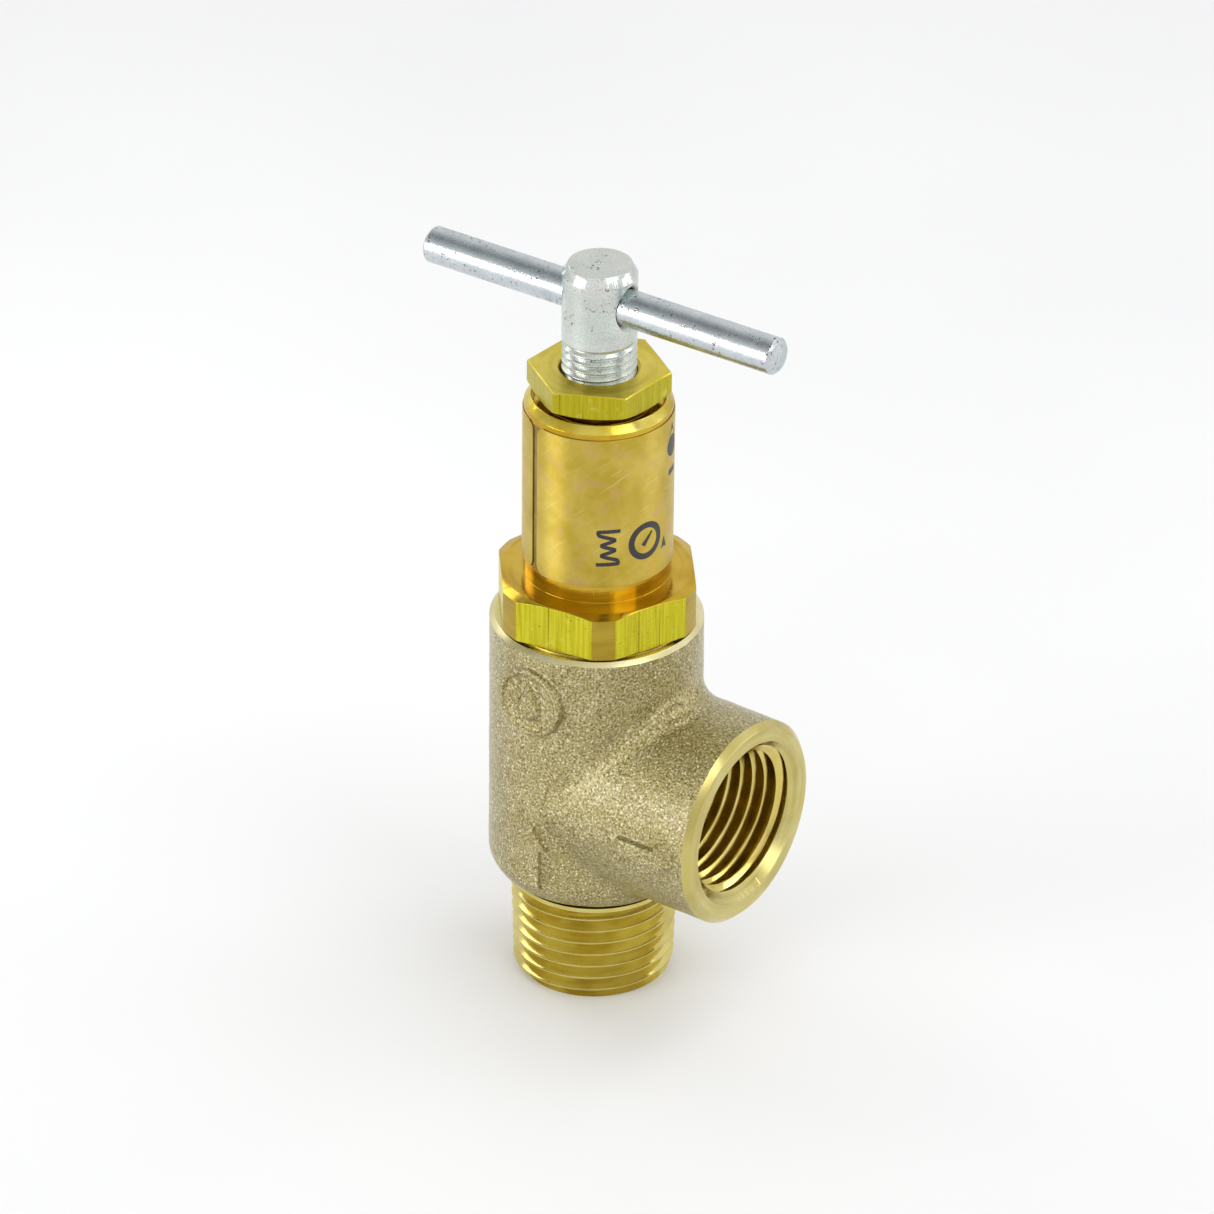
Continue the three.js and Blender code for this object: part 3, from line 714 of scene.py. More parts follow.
def soft_union(a, b, width):
    """The union of two shapes with the corner between them eased over a width."""
    blend = np.clip(0.5 + 0.5 * (b - a) / width, 0, 1)
    return b * (1 - blend) + a * blend - width * blend * (1 - blend)


def polygon_distance(x, z, corners):
    """Signed distance in a plane to a closed outline, negative inside."""
    nearest = np.full(x.shape, 1e9)
    inside = np.zeros(x.shape, bool)
    for (ax, az), (bx, bz) in zip(corners, np.roll(corners, -1, axis=0)):
        ex, ez = bx - ax, bz - az
        t = np.clip(((x - ax) * ex + (z - az) * ez) / (ex * ex + ez * ez), 0, 1)
        nearest = np.minimum(nearest, np.hypot(x - ax - t * ex, z - az - t * ez))
        crosses = (az > z) != (bz > z)
        inside ^= crosses & (x < ax + (z - az) * ex / (ez if ez else 1e-9))
    return np.where(inside, -nearest, nearest)


def drop_distance(x, z, foot=-0.75, round_r=1.6, tip=2.9, tip_r=0.2):
    """Signed distance in a plane to a water drop: a circle drawn up to a small tip."""
    side, up = np.abs(x), z - foot
    length = tip - foot - tip_r
    slope = (round_r - tip_r) / length
    level = math.sqrt(1 - slope**2)
    along = level * up - slope * side
    at_tip = np.hypot(side, up - length) - tip_r
    at_foot = np.hypot(side, up) - round_r
    flank = level * side + slope * up - round_r
    return np.where(along < 0, at_foot, np.where(along > level * length, at_tip, flank))


def arrow(length, stem, head, head_length):
    """Corners of an arrow that points along its second axis, about its middle."""
    tip = length / 2
    neck = tip - head_length
    right = [(stem, -tip), (stem, neck), (head, neck)]
    return np.array(right + [(0, tip)] + [(-x, y) for x, y in reversed(right)])


UP_ARROW = arrow(9.8, 1.5, 2.45, 3.8) + (0.1, 22.8)
OUT_ARROW = arrow(8.8, 1.4, 2.4, 3.1)[:, ::-1] + (18.0, 29.2)


def raised(flat_distance, p, face, softness):
    """Signed distance to a plate of that outline with a softened edge, its front at -Y = face."""
    out, front = flat_distance + softness, -p[:, 1] - face + softness
    corner = np.hypot(np.maximum(out, 0), np.maximum(front, 0))
    plate = corner + np.minimum(np.maximum(out, front), 0) - softness
    return np.maximum(plate, p[:, 1] + face - MARK_DEPTH)


# the broken-off end of a casting gate, on the corner over the outlet boss
STUB_PLACE = np.array((14.25, -3.0, 43.5))
STUB_SIZE = np.array((2.3, 1.35, 1.1))
STUB_AXES = np.column_stack([(0.53, 0.83, 0.17), (0.68, -0.30, -0.67), (0.51, -0.47, 0.72)])


def casting_distance(p):
    """Signed distance to the casting as it leaves the mould, before any machining."""
    body, boss = body_distance(p), boss_distance(p)
    distance = rolled_union(body, boss, CAST_FILLET)
    front = p[:, 1] < -BODY_R * 0.6
    q = p[front]
    x, z = q[:, 0], q[:, 2]
    near = distance[front]
    pad_x, pad_z = x - PAD_PLACE[0], z - PAD_PLACE[1]
    pad = np.hypot(pad_x, pad_z) - PAD_R
    marks = (  # outline, face, softness of the edge and of the corner at its foot
        (pad, PAD_FACE, 0.15, 0.15),
        (np.abs(pad + PAD_RING_INSET) - PAD_RING_HALF, PAD_FACE + MARK_RISE, 0.15, 0.15),
        (drop_distance(pad_x, pad_z), SIGN_FACE + MARK_RISE, 0.2, 0.15),
        (polygon_distance(x, z, UP_ARROW), ARROW_FACE, 0.3, 0.25),
        (polygon_distance(x, z, OUT_ARROW), ARROW_FACE, 0.5, 0.25),
    )
    for flat_distance, face, softness, foot in marks:
        near = soft_union(near, raised(flat_distance, q, face, softness), foot)
    distance[front] = near
    stub = (np.linalg.norm((p - STUB_PLACE) @ STUB_AXES / STUB_SIZE, axis=1) - 1) * STUB_SIZE.min()
    return soft_union(distance, stub, 0.5)


def surface_net(distance, low, high, step):
    """Points and quads of the surface where a distance function is zero, one point per crossed cell."""
    axes = [np.arange(a, b + step, step) for a, b in zip(low, high)]
    shape = tuple(len(a) for a in axes)
    grid = np.stack(np.meshgrid(*axes, indexing="ij"), axis=-1)
    field = np.concatenate([distance(slab.reshape(-1, 3)) for slab in grid]).reshape(shape)
    inside = field < 0
    corners = list(itertools.product((0, 1), repeat=3))
    cells = tuple(n - 1 for n in shape)
    filled = sum(
        inside[i : i + cells[0], j : j + cells[1], k : k + cells[2]].astype(int) for i, j, k in corners
    )
    active = np.argwhere((filled > 0) & (filled < 8))
    number = np.full(cells, -1)
    number[tuple(active.T)] = np.arange(len(active))
    # a cell's point is the middle of the places where the surface crosses its edges
    total, crossings = np.zeros((len(active), 3)), np.zeros(len(active))
    for a in corners:
        for axis in range(3):
            if a[axis]:
                continue
            b = np.array(a) + np.eye(3, dtype=int)[axis]
            fa = field[tuple((active + a).T)]
            fb = field[tuple((active + b).T)]
            crossed = (fa < 0) != (fb < 0)
            t = np.where(crossed, fa / np.where(crossed, fa - fb, 1), 0)
            at = active + np.array(a) + t[:, None] * np.eye(3)[axis]
            total[crossed] += at[crossed]
            crossings += crossed
    points = np.array(low) + step * total / crossings[:, None]
    # each grid edge that crosses the surface gives a quad between the points of the four cells round it
    faces = []
    for axis in range(3):
        one, two = (axis + 1) % 3, (axis + 2) % 3
        ahead = np.moveaxis(inside, axis, 0)
        edge = np.argwhere(np.moveaxis(ahead[:-1] != ahead[1:], 0, axis))
        edge = edge[(edge[:, one] > 0) & (edge[:, two] > 0)]
        steps = np.zeros((4, 3), int)
        steps[1, one] = steps[2, one] = steps[2, two] = steps[3, two] = -1
        quad = np.stack([number[tuple((edge + s).T)] for s in steps], axis=1)
        flip = ~inside[tuple(edge.T)]
        quad[flip] = quad[flip][:, ::-1]
        faces.append(quad)
    return points, np.concatenate(faces)


def steepest(distance, p, reach=0.02):
    """The direction in which a distance function grows, at each point."""
    slope = np.stack(
        [distance(p + reach * axis) - distance(p - reach * axis) for axis in np.eye(3)], axis=1
    )
    return slope / np.maximum(np.linalg.norm(slope, axis=1), 1e-9)[:, None]


# the cast skin's unevenness: height, wavelength and seed of each noise, and how far it all lies below
SKIN_NOISE = ((0.05, 5.0, 3), (0.03, 1.7, 4), (0.022, 0.75, 5))
SKIN_SINK = 0.02


def casting_blank():
    """The raw casting, with its slightly uneven sand-cast skin."""
    low = (-BODY_R - 1, -SIGN_FACE - 1, BODY_BOTTOM - 1)
    high = (OUTLET_FACE + 1.6, BODY_R + 1, BODY_TOP + 1.6)
    trim = (OUTLET_FACE + 0.9, BODY_TOP + 0.9)

    def closed(p):
        ends = np.maximum(p[:, 0] - trim[0], p[:, 2] - trim[1])
        return np.maximum(casting_distance(p), ends)

    points, faces = surface_net(closed, low, high, NET_STEP)
    for _ in range(3):
        points -= closed(points)[:, None] * steepest(closed, points)
    out = steepest(closed, points)
    height = sum(size * lattice_noise(points, wave, seed) for size, wave, seed in SKIN_NOISE)
    points += (height - SKIN_SINK)[:, None] * out
    return solid("valve_casting", points, faces.tolist(), CASTING, [SKIN] * len(faces), sharp=180)


def inlet_thread():
    """The male pipe thread, with a plain land above it and a narrow groove under the casting."""
    top = BODY_BOTTOM + 3

    def radius_at(z, depth):
        fade = np.clip((INLET_THREAD_TOP - z) / PIPE_PITCH * 3, 0, 1)
        return INLET_CREST_R + z * PIPE_TAPER - PIPE_DEPTH * depth * fade

    thread = threaded("inlet", 0.0, top, PIPE_PITCH, radius_at, CASTING, INLET)
    land = [(0, INLET_LAND_Z), (INLET_LAND_R, INLET_LAND_Z), (INLET_LAND_R, BODY_BOTTOM), (0, BODY_BOTTOM)]
    joined(thread, turned("inlet_land", CASTING, [(r, z, 0) for r, z in land], surface=INLET), "UNION")
    chamfer = 1.9
    stock = [
        (0, 0, 0),
        (INLET_CHAMFER_R, 0, 0.1),
        (INLET_CHAMFER_R + chamfer, chamfer, 0.1),
        # the groove's faces take the GROOVE surface, painted dark as shade
        (INLET_CHAMFER_R + chamfer, INLET_GROOVE_Z, 0, GROOVE),
        (INLET_GROOVE_R, INLET_GROOVE_Z, 0, GROOVE),
        (INLET_GROOVE_R, top - 0.5, 0, GROOVE),
        (0, top - 0.5, 0, GROOVE),
    ]
    return joined(thread, turned("inlet_stock", CASTING, stock, surface=INLET), "INTERSECT")


def waterway():
    """Inlet bore, seat, chamber and bonnet bore as one cutter."""
    below, above = -1, BODY_TOP + 2
    corners = [
        (0, below, 0),
        (INLET_BORE_R + INLET_BORE_CHAMFER - below, below, 0),
        (INLET_BORE_R, INLET_BORE_CHAMFER, 0.1),
        (INLET_BORE_R, SEAT_TOP - SEAT_LEAD, 0.1),
        (INLET_BORE_R + SEAT_LEAD, SEAT_TOP, 0.04),
        (SEAT_LIP_R, SEAT_TOP, 0.04),
        (SEAT_FOOT_R, SEAT_TOP - SEAT_SLOPE, 0.1),
        (SEAT_FOOT_R, CHAMBER_FLOOR, 0.2),
        (CHAMBER_R, CHAMBER_FLOOR, 0.4),
        (CHAMBER_R, BONNET_BORE_BOTTOM, 0.1),
        (BONNET_BORE_R, BONNET_BORE_BOTTOM, 0.1),
        (BONNET_BORE_R, BODY_TOP - 0.5, 0.1),
        (BONNET_BORE_MOUTH_R, BODY_TOP, 0.05),
        (BONNET_BORE_MOUTH_R, above, 0),
        (0, above, 0),
    ]
    return turned("waterway", CASTING, corners, surface=BORE)


def outlet_port():
    """The tapped outlet as a cutter: pipe thread, run-out, bore and entrance chamfer."""
    face = OUTLET_FACE
    start = face - OUTLET_TURNS * PIPE_PITCH
    core = OUTLET_ROOT_R - PIPE_DEPTH - 0.3

    def radius_at(x, depth):
        root = OUTLET_ROOT_R - (face - x) * PIPE_TAPER
        fade = np.clip((x - start) / PIPE_PITCH, 0, 1)
        return (root - PIPE_DEPTH) + PIPE_DEPTH * (1 - depth) * fade

    thread = threaded("outlet", start, face + 1, PIPE_PITCH, radius_at, CASTING, OUTLET, columns=180)
    bore = [
        (0, OUTLET_BORE_START, 0, BORE),
        (OUTLET_BORE_R, OUTLET_BORE_START, 0, BORE),
        (OUTLET_BORE_R, start - 0.2, 0, BORE),
        (core, start + 0.3, 0, BORE),
        (core, face - OUTLET_CONE_DEPTH, 0),
        (OUTLET_LIP_R, face - OUTLET_LIP_DEPTH, 0.06),
        (OUTLET_MOUTH_R, face, 0.08),
        (OUTLET_MOUTH_R + 1, face + 1, 0),
        (0, face + 1, 0),
    ]
    joined(thread, turned("outlet_bore", CASTING, bore, surface=MOUTH), "UNION")
    return laid_along_x(thread, OUTLET_Z)


def face_cutter(name, face, radius, chamfer, surface):
    """Cuts everything past a face, and chamfers the rim of the given radius there."""
    edge, past = radius - chamfer, 1.3 * chamfer
    corners = [
        (0, face, 0),
        (edge, face, 0.12),
        (edge + past, face - past, 0),
        (radius + 6, face - past, 0),
        (radius + 6, face + 5, 0),
        (0, face + 5, 0),
    ]
    return turned(name, CASTING, corners, surface=surface)


def soften_skin(mesh):
    """Takes the sharp edges out of the rough cast skin."""
    shaped = bmesh.new()
    shaped.from_mesh(mesh)
    for edge in shaped.edges:
        if all(face.material_index == SKIN for face in edge.link_faces):
            edge.smooth = True
    shaped.to_mesh(mesh)
    shaped.free()


def valve_casting():
    """The casting with everything that is machined into it."""
    casting = casting_blank()
    mouth = face_cutter("mouth", OUTLET_FACE, OUTLET_R, OUTLET_CHAMFER, MOUTH)
    # the rim's chamfer takes the EDGE surface, painted pale as a highlight
    joined(casting, face_cutter("rim", BODY_TOP, BODY_R, RIM_CHAMFER, EDGE), "DIFFERENCE")
    joined(casting, laid_along_x(mouth, OUTLET_Z), "DIFFERENCE")
    joined(casting, inlet_thread(), "UNION")
    joined(casting, waterway(), "DIFFERENCE")
    joined(casting, outlet_port(), "DIFFERENCE")
    shade(casting.data, 42)
    soften_skin(casting.data)
    return even_normals(casting)


# ---- bonnet, gasket and label ----
def hexagon_angles(corner_angle, half_strip, flat_steps=22, strip_steps=5, blend=0.35):
    """Column angles round a hexagon, closer together where a flat meets a corner's round strip."""
    angles = []
    for side in range(6):
        middle = corner_angle + 60 * side
        strip = np.linspace(-half_strip + blend, half_strip - blend, strip_steps)
        flat = np.linspace(half_strip + blend, 60 - half_strip - blend, flat_steps)
        edges = [half_strip, 60 - half_strip]
        angles += list(middle + np.sort(np.concatenate([strip, flat, edges])))
    return np.radians(angles)


def hexagon_radius(angle, corner_angle, flat, corner_r, softness=0.02):
    """Radius at an angle of a hexagon whose corners are turned off, its edges softened a little."""
    from_flat = (math.degrees(angle) - corner_angle) % 60 - 30
    side = flat / math.cos(math.radians(from_flat))
    weight = math.exp(-side / softness + corner_r / softness) if side - corner_r < 1 else 0
    return corner_r - softness * math.log(1 + weight)


def paint_strips(obj, surface, strip_surface, corner_angle, half_strip, low, high):
    """Gives the faces of the corners' round strips another surface than the flats between them."""
    for face in obj.data.polygons:
        if face.material_index != surface or not low < face.center.z / MM < high:
            continue
        angle = math.degrees(math.atan2(face.center.y, face.center.x))
        if abs((angle - corner_angle + 30) % 60 - 30) < half_strip:
            face.material_index = strip_surface


def bonnet():
    """Plug, hexagon flange, barrel with its recessed top, and the bores for spring and screw."""
    gold, milled, plain, strip, covered, rim = range(6)
    half_strip = 30 - math.degrees(math.acos(FLANGE_FLAT / FLANGE_CORNER_R))
    angles = hexagon_angles(FLANGE_ANGLE, half_strip)
    corner_fall = FLANGE_CORNER_DROP / (FLANGE_CORNER_R - FLANGE_FACE_R)

    def corners(angle):
        side = hexagon_radius(angle, FLANGE_ANGLE, FLANGE_FLAT, FLANGE_CORNER_R)
        side_top = FLANGE_TOP - (side - FLANGE_FACE_R) * corner_fall
        return [
            (SPRING_BORE_R, PLUG_BOTTOM, 0.2, plain),
            (PLUG_R, PLUG_BOTTOM, 0.5, plain),
            (PLUG_R, FLANGE_SEAT - RUNOUT_HEIGHT - 0.3, 0.1, plain),
            (RUNOUT_R, FLANGE_SEAT - RUNOUT_HEIGHT, 0.1, plain),
            (RUNOUT_R, FLANGE_SEAT, 0.2, plain),
            (FLANGE_SEAT_R, FLANGE_SEAT, 0.08, plain),
            (FLANGE_SEAT_R, FLANGE_BOTTOM, 0.05, plain),
            (side, FLANGE_BOTTOM, 0.12, milled),
            (side, side_top, 0.06, gold),
            (FLANGE_FACE_R, FLANGE_TOP, 0.1, gold),
            (BARREL_R, FLANGE_TOP, 0.07, gold),
            (BARREL_R, label_low[2] + LABEL_COVER, 0, covered),
            (BARREL_R, label_high[2] - LABEL_COVER, 0, gold),
            (BARREL_R, BARREL_TOP, 0.1, rim),
            (BARREL_RIM_R, BARREL_RIM_Z, 0.12, rim),
            (RECESS_MOUTH_R, BARREL_RIM_Z, 0.08, rim),
            (RECESS_R, RECESS_FLOOR, 0.1, gold),
            (BOSS_R, RECESS_FLOOR, 0.15, gold),
            (BOSS_R, BOSS_TOP, 0.15, gold),
            (SCREW_HOLE_R, BOSS_TOP, 0.15, plain),
            (SCREW_HOLE_R, SPRING_BORE_TOP, 0.1, plain),
            (SPRING_BORE_R, SPRING_BORE_TOP, 0.4, plain),
        ]

    made = revolved("bonnet_shell", corners, [GOLD, MILLED, TURNED, STRIP, COVERED, RIM], angles)
    paint_strips(made, milled, strip, FLANGE_ANGLE, half_strip, FLANGE_BOTTOM, FLANGE_TOP)
    return even_normals(made)


def ring(name, node, inner, edge, material):
    """A flat ring with rounded edges, round a hole of the inner radius, as wide and high as a CAD node."""
    low, high = box_of(node)
    corners = [(inner, low[2]), (high[0], low[2]), (high[0], high[2]), (inner, high[2])]
    return even_normals(revolved(name, [(*c, edge, 0) for c in corners], [material], MEDIUM))


def label_band():
    """The foil band round the barrel, open at its seam, with rounded corners there."""
    inner, edge = LABEL_R - LABEL_THICK, 0.04
    low, high = label_low[2], label_high[2]
    half_gap = math.radians(LABEL_SEAM / 2)
    span = TURN - 2 * half_gap
    turns = np.linspace(0, math.pi / 2, 9)[:-1]
    ends = LABEL_CORNER_R * (1 - np.cos(turns)) / LABEL_R
    between = np.linspace(LABEL_CORNER_R / LABEL_R, span - LABEL_CORNER_R / LABEL_R, 170)
    along = np.concatenate([ends, between, span - ends[::-1]])
    loops = []
    for at in along:
        from_end = min(at, span - at) * LABEL_R
        short = max(LABEL_CORNER_R - from_end, 0)
        lift = LABEL_CORNER_R - math.sqrt(LABEL_CORNER_R**2 - short**2)
        bottom, top = low + lift, high - lift
        heights = np.linspace(bottom + edge, top - edge, 12)
        loop = [(inner, bottom), (LABEL_R - edge, bottom)]
        loop += [(LABEL_R, z) for z in heights]
        loop += [(LABEL_R - edge, top), (inner, top)]
        angle = math.radians(LABEL_SEAM_ANGLE) + half_gap + at
        loops.append([(r * math.cos(angle), r * math.sin(angle), z) for r, z in loop])
    return swept("label_band", np.array(loops), [FOIL])


def swept(name, loops, materials, sharp=38):
    """A closed solid from a run of section loops, with flat ends."""
    count, size = loops.shape[:2]
    index = np.arange(count * size).reshape(count, size)
    onward = np.roll(index, -1, axis=1)
    sides = np.stack([index[:-1], onward[:-1], onward[1:], index[1:]], axis=-1).reshape(-1, 4)
    faces = sides.tolist() + [index[0][::-1].tolist(), index[-1].tolist()]
    return solid(name, loops.reshape(-1, 3), faces, materials, sharp=sharp)


def on_label(across, up, r):
    """A point on the label. across is the arc length from angle zero, to the right seen from outside."""
    angle = across / LABEL_R
    return (r * math.cos(angle), r * math.sin(angle), up)


def divided(corners, step=0.35):
    """The same path with points at most a step apart, so that it bends round the barrel."""
    points = [np.array(corners[0], float)]
    for a, b in zip(corners, corners[1:]):
        a, b = np.array(a, float), np.array(b, float)
        count = max(1, math.ceil(np.linalg.norm(b - a) / step))
        points += [a + (b - a) * k / count for k in range(1, count + 1)]
    return points


def printed_line(name, path, width, closed=False):
    """A line of ink along a path of (across, up) points on the label. width is one number or a run."""
    path = np.array(divided(path))
    if closed:
        before, after = np.roll(path, 1, axis=0), np.roll(path, -1, axis=0)
    else:
        before = np.vstack([2 * path[0] - path[1], path[:-1]])
        after = np.vstack([path[1:], 2 * path[-1] - path[-2]])
    come = (path - before) / np.linalg.norm(path - before, axis=1)[:, None]
    go = (after - path) / np.linalg.norm(after - path, axis=1)[:, None]
    mitre = come + go
    mitre /= np.linalg.norm(mitre, axis=1)[:, None]
    out = np.stack([-mitre[:, 1], mitre[:, 0]], axis=1)
    widen = np.minimum(1 / np.maximum((mitre * go).sum(axis=1), 0.3), 2.2)
    width = np.atleast_1d(width)
    half = np.interp(np.linspace(0, 1, len(path)), np.linspace(0, 1, len(width)), width) / 2 * widen
    loops = []
    for at, side, reach in zip(path, out, half):
        left, right = at + side * reach, at - side * reach
        section = ((left, INK_IN), (left, INK_OUT), (right, INK_OUT), (right, INK_IN))
        loops.append([on_label(*point, r) for point, r in section])
    loops = np.array(loops)
    if not closed:
        return swept(name, loops, [INK])
    return solid(name, loops.reshape(-1, 3), skin(len(loops), 4, loop=True).tolist(), [INK])


def circle(centre, radius, count):
    """Points round a circle."""
    angles = np.radians(np.linspace(0, 360, count + 1))[:-1]
    return [(centre[0] + radius * math.cos(a), centre[1] + radius * math.sin(a)) for a in angles]


def disc_widths(radius, steps=14, blunt=0.12):
    """Stations across a filled disc with slightly blunt ends, and the disc's width at each."""
    at = -radius * np.cos(np.linspace(blunt, math.pi - blunt, steps))
    return at, 2 * np.sqrt(radius**2 - at**2)


SIGN_FOOT = 64.6
SIGN_PEN = 0.52
SIGN_BEND = 0.22
DROP_SIGN_R = 1.5
DROP_SIGN_Z = 78.2


def label_print():
    """Generic signs on the label: a spring's zigzag, a gauge, a pointer, and a drop over a short bar."""
    spring, gauge, pointer, drop, bar_start, bar_end = (
        math.radians(angle) * LABEL_R for angle in (-55.3, -14.6, 5.8, 19.0, 13, 26)
    )
    slants = [(0.4 if i % 2 else 2.7, 0.55 + 0.72 * i) for i in range(6)]
    zigzag = [(0, 0), (2.9, 0)] + slants + [(0.2, 4.7), (3.1, 4.7)]
    path, _ = outline([(spring + x, SIGN_FOOT + z, SIGN_BEND, 0) for x, z in zigzag], loop=False)
    middle = SIGN_FOOT + 2.35
    needle = [(gauge - 0.5, middle - 0.6), (gauge + 0.95, middle + 1.1)]
    triangle = [(pointer, SIGN_FOOT), (pointer, SIGN_FOOT + 1.5)]
    at, width = disc_widths(DROP_SIGN_R)
    drop_foot = [(drop + x, DROP_SIGN_Z) for x in at]
    drop_tip = [(drop, DROP_SIGN_Z + 1), (drop, DROP_SIGN_Z + 3.1)]
    bar_z = DROP_SIGN_Z - 3.6
    return [
        printed_line("sign_spring", path, SIGN_PEN),
        printed_line("sign_gauge", circle((gauge, middle), 2.2, 64), 0.85, closed=True),
        printed_line("sign_needle", needle, (0.7, 0.3)),
        printed_line("sign_pointer", triangle, (1.1, 0.1)),
        printed_line("sign_drop_foot", drop_foot, width),
        printed_line("sign_drop_tip", drop_tip, (2.2, 0.2)),
        printed_line("sign_bar", [(bar_start, bar_z), (bar_end, bar_z)], 0.8),
    ]


# ---- adjusting screw, bar and lock nut ----
def adjusting_screw():
    """Threaded shank with a plain head, a cross hole for the bar, a pilot tip and a punch mark."""
    top, tip = screw_high[2], screw_low[2]
    past = SCREW_R + 0.4
    plate, edge = 0, 1

    def radius_at(z, depth):
        fade = np.clip((SCREW_THREAD_TOP - z) / (1.2 * SCREW_PITCH), 0, 1)
        return SCREW_R - SCREW_DEPTH * depth * fade

    screw = threaded("screw", tip, top, SCREW_PITCH, radius_at, [ZINC, ZINC_EDGE], columns=COARSE)
    stock = [
        (0, tip, 0),
        (0.5 * SCREW_TIP_R, tip + 0.15, 0.3),
        (0.85 * SCREW_TIP_R, tip + 0.7, 0.3),
        (SCREW_TIP_R, tip + 1.6, 0.3),
        (SCREW_TIP_R, tip + 3.5, 0.1),
        (SCREW_R - SCREW_DEPTH, tip + 4.0, 0.1),
        (past, tip + 5.0, 0.1),
        (past, top - SCREW_CHAMFER - 0.9, 0, edge),
        (SCREW_R, top - SCREW_CHAMFER, 0.06, edge),
        (SCREW_FACE_R, top, 0.05),
        (PUNCH_R, top, 0.1),
        (0.28, top - 0.03, 0.05),
        (0, top - PUNCH_DEPTH, 0),
    ]
    joined(screw, turned("screw_stock", [ZINC, ZINC_EDGE], stock, surface=plate), "INTERSECT")
    joined(screw, laid_along_x(cross_hole(), BAR_Z, BAR_ANGLE), "DIFFERENCE")
    screw.name = "adjusting_screw_shank"
    return reshaded(screw)


def mirrored(half):
    """The other half of a run of corners that is the same both ways from zero."""
    return [(r, -x, rounding) for r, x, rounding in reversed(half)]


def cross_hole():
    """The bar's hole through the screw as a cutter, countersunk at both ends."""
    sink, past = 0.75, 1.2
    inner, outer = SCREW_R - sink, SCREW_R + past
    half = [(BAR_HOLE_R, inner, 0.1), (BAR_HOLE_R + sink + past, outer, 0), (0, outer + 1.4, 0)]
    return turned("cross_hole", [ZINC, ZINC_EDGE], mirrored(half) + half, COARSE)


def handle_bar():
    """The bar through the screw's head: drawn rod with chamfered, faintly dished ends."""
    end, chamfer = BAR_LENGTH / 2, 0.32
    half = [
        (BAR_R, end - chamfer, 0.15),
        (BAR_R - chamfer, end, 0.1),
        (1.4, end - 0.03, 0.3),
        (0, end - 0.08, 0),
    ]
    bar = turned("handle_bar", [ZINC_BAR], mirrored(half) + [(BAR_R, 0, 0)] + half, 72)
    laid_along_x(bar, BAR_Z, BAR_ANGLE)
    return even_normals(moved(bar, Matrix.Translation((BAR_X, 0, 0))))


def lock_nut():
    """A thin hexagon nut, chamfered below, with a countersunk hole."""
    plain, milled = 0, 1
    low, high = nut_low[2], nut_high[2]
    half_strip = max(30 - math.degrees(math.acos(NUT_FLAT / NUT_CORNER_R)), 0.8)
    under = NUT_UNDER_RISE / (NUT_CORNER_R - NUT_FLAT)

    def corners(angle):
        side = hexagon_radius(angle, NUT_ANGLE, NUT_FLAT, NUT_CORNER_R)
        beyond = side - NUT_FLAT
        return [
            (NUT_SINK_R, low, 0.05, plain),
            (NUT_FLAT - 0.1, low, 0.08, plain),
            (side, low + 0.06 + beyond * under, 0.08, milled),
            (side, high - 0.1 - beyond * 0.1, 0.08, plain),
            (side - 0.12, high, 0.06, plain),
            (NUT_SINK_R, high, 0.08, plain),
            (SCREW_HOLE_R, high - NUT_SINK, 0.05, plain),
            (SCREW_HOLE_R, low + NUT_SINK, 0.05, plain),
        ]

    angles = hexagon_angles(NUT_ANGLE, half_strip, strip_steps=3, blend=0.3)
    return even_normals(revolved("lock_nut_hexagon", corners, [NUT_FACE, MILLED_NUT], angles))


# ---- spring and its seats ----
def wire_centre(turn):
    """The spring wire's centre line: the first and last coils closed, the others evenly open."""
    foot, head = spring_low[2], spring_high[2]
    end_pitch = 2.05 * WIRE_R
    rise = head - foot - 2 * WIRE_R
    open_pitch = (rise - 2 * end_pitch) / (SPRING_TURNS - 2)
    closed = min(turn, 1) + max(turn - SPRING_TURNS + 1, 0)
    height = foot + WIRE_R + end_pitch * closed + open_pitch * (turn - closed)
    angle = TURN * turn
    return np.array((SPRING_R * math.cos(angle), SPRING_R * math.sin(angle), height))


def spring_part(name, first, last):
    """The stretch of wire between two turn numbers, as a tube with closed ends."""
    loops = []
    for turn in np.linspace(first, last, int((last - first) * 40) + 1):
        centre = wire_centre(turn)
        along = wire_centre(turn + 1e-4) - wire_centre(turn - 1e-4)
        along /= np.linalg.norm(along)
        out = np.array((math.cos(TURN * turn), math.sin(TURN * turn), 0))
        up = np.cross(along, out)
        around = np.arange(14) * TURN / 14
        loops.append([centre + WIRE_R * (math.cos(a) * out + math.sin(a) * up) for a in around])
    return swept(name, np.array(loops), [STEEL], sharp=60)


def spring_button():
    """The upper spring seat, with a pilot in the coil and a dimple for the screw's tip."""
    foot, seat, top = button_low[2], spring_high[2] + 0.05, button_high[2]
    r = button_high[0]
    dimple = screw_low[2] - 0.05
    corners = [
        (0, foot, 0),
        (PILOT_R - 0.5, foot, 0.15),
        (PILOT_R, foot + 0.5, 0.15),
        (PILOT_R, seat, 0.15),
        (r, seat, 0.15),
        (r, top - 0.8, 0.15),
        (r - 1.2, top, 0.15),
        (SCREW_TIP_R + 0.6, top, 0.1),
        (SCREW_TIP_R + 0.2, dimple + 0.65, 0.1),
        (0.5 * SCREW_TIP_R, dimple, 0.2),
        (0, dimple, 0),
    ]
    return even_normals(turned("upper_seat_button", [TURNED], corners, MEDIUM))


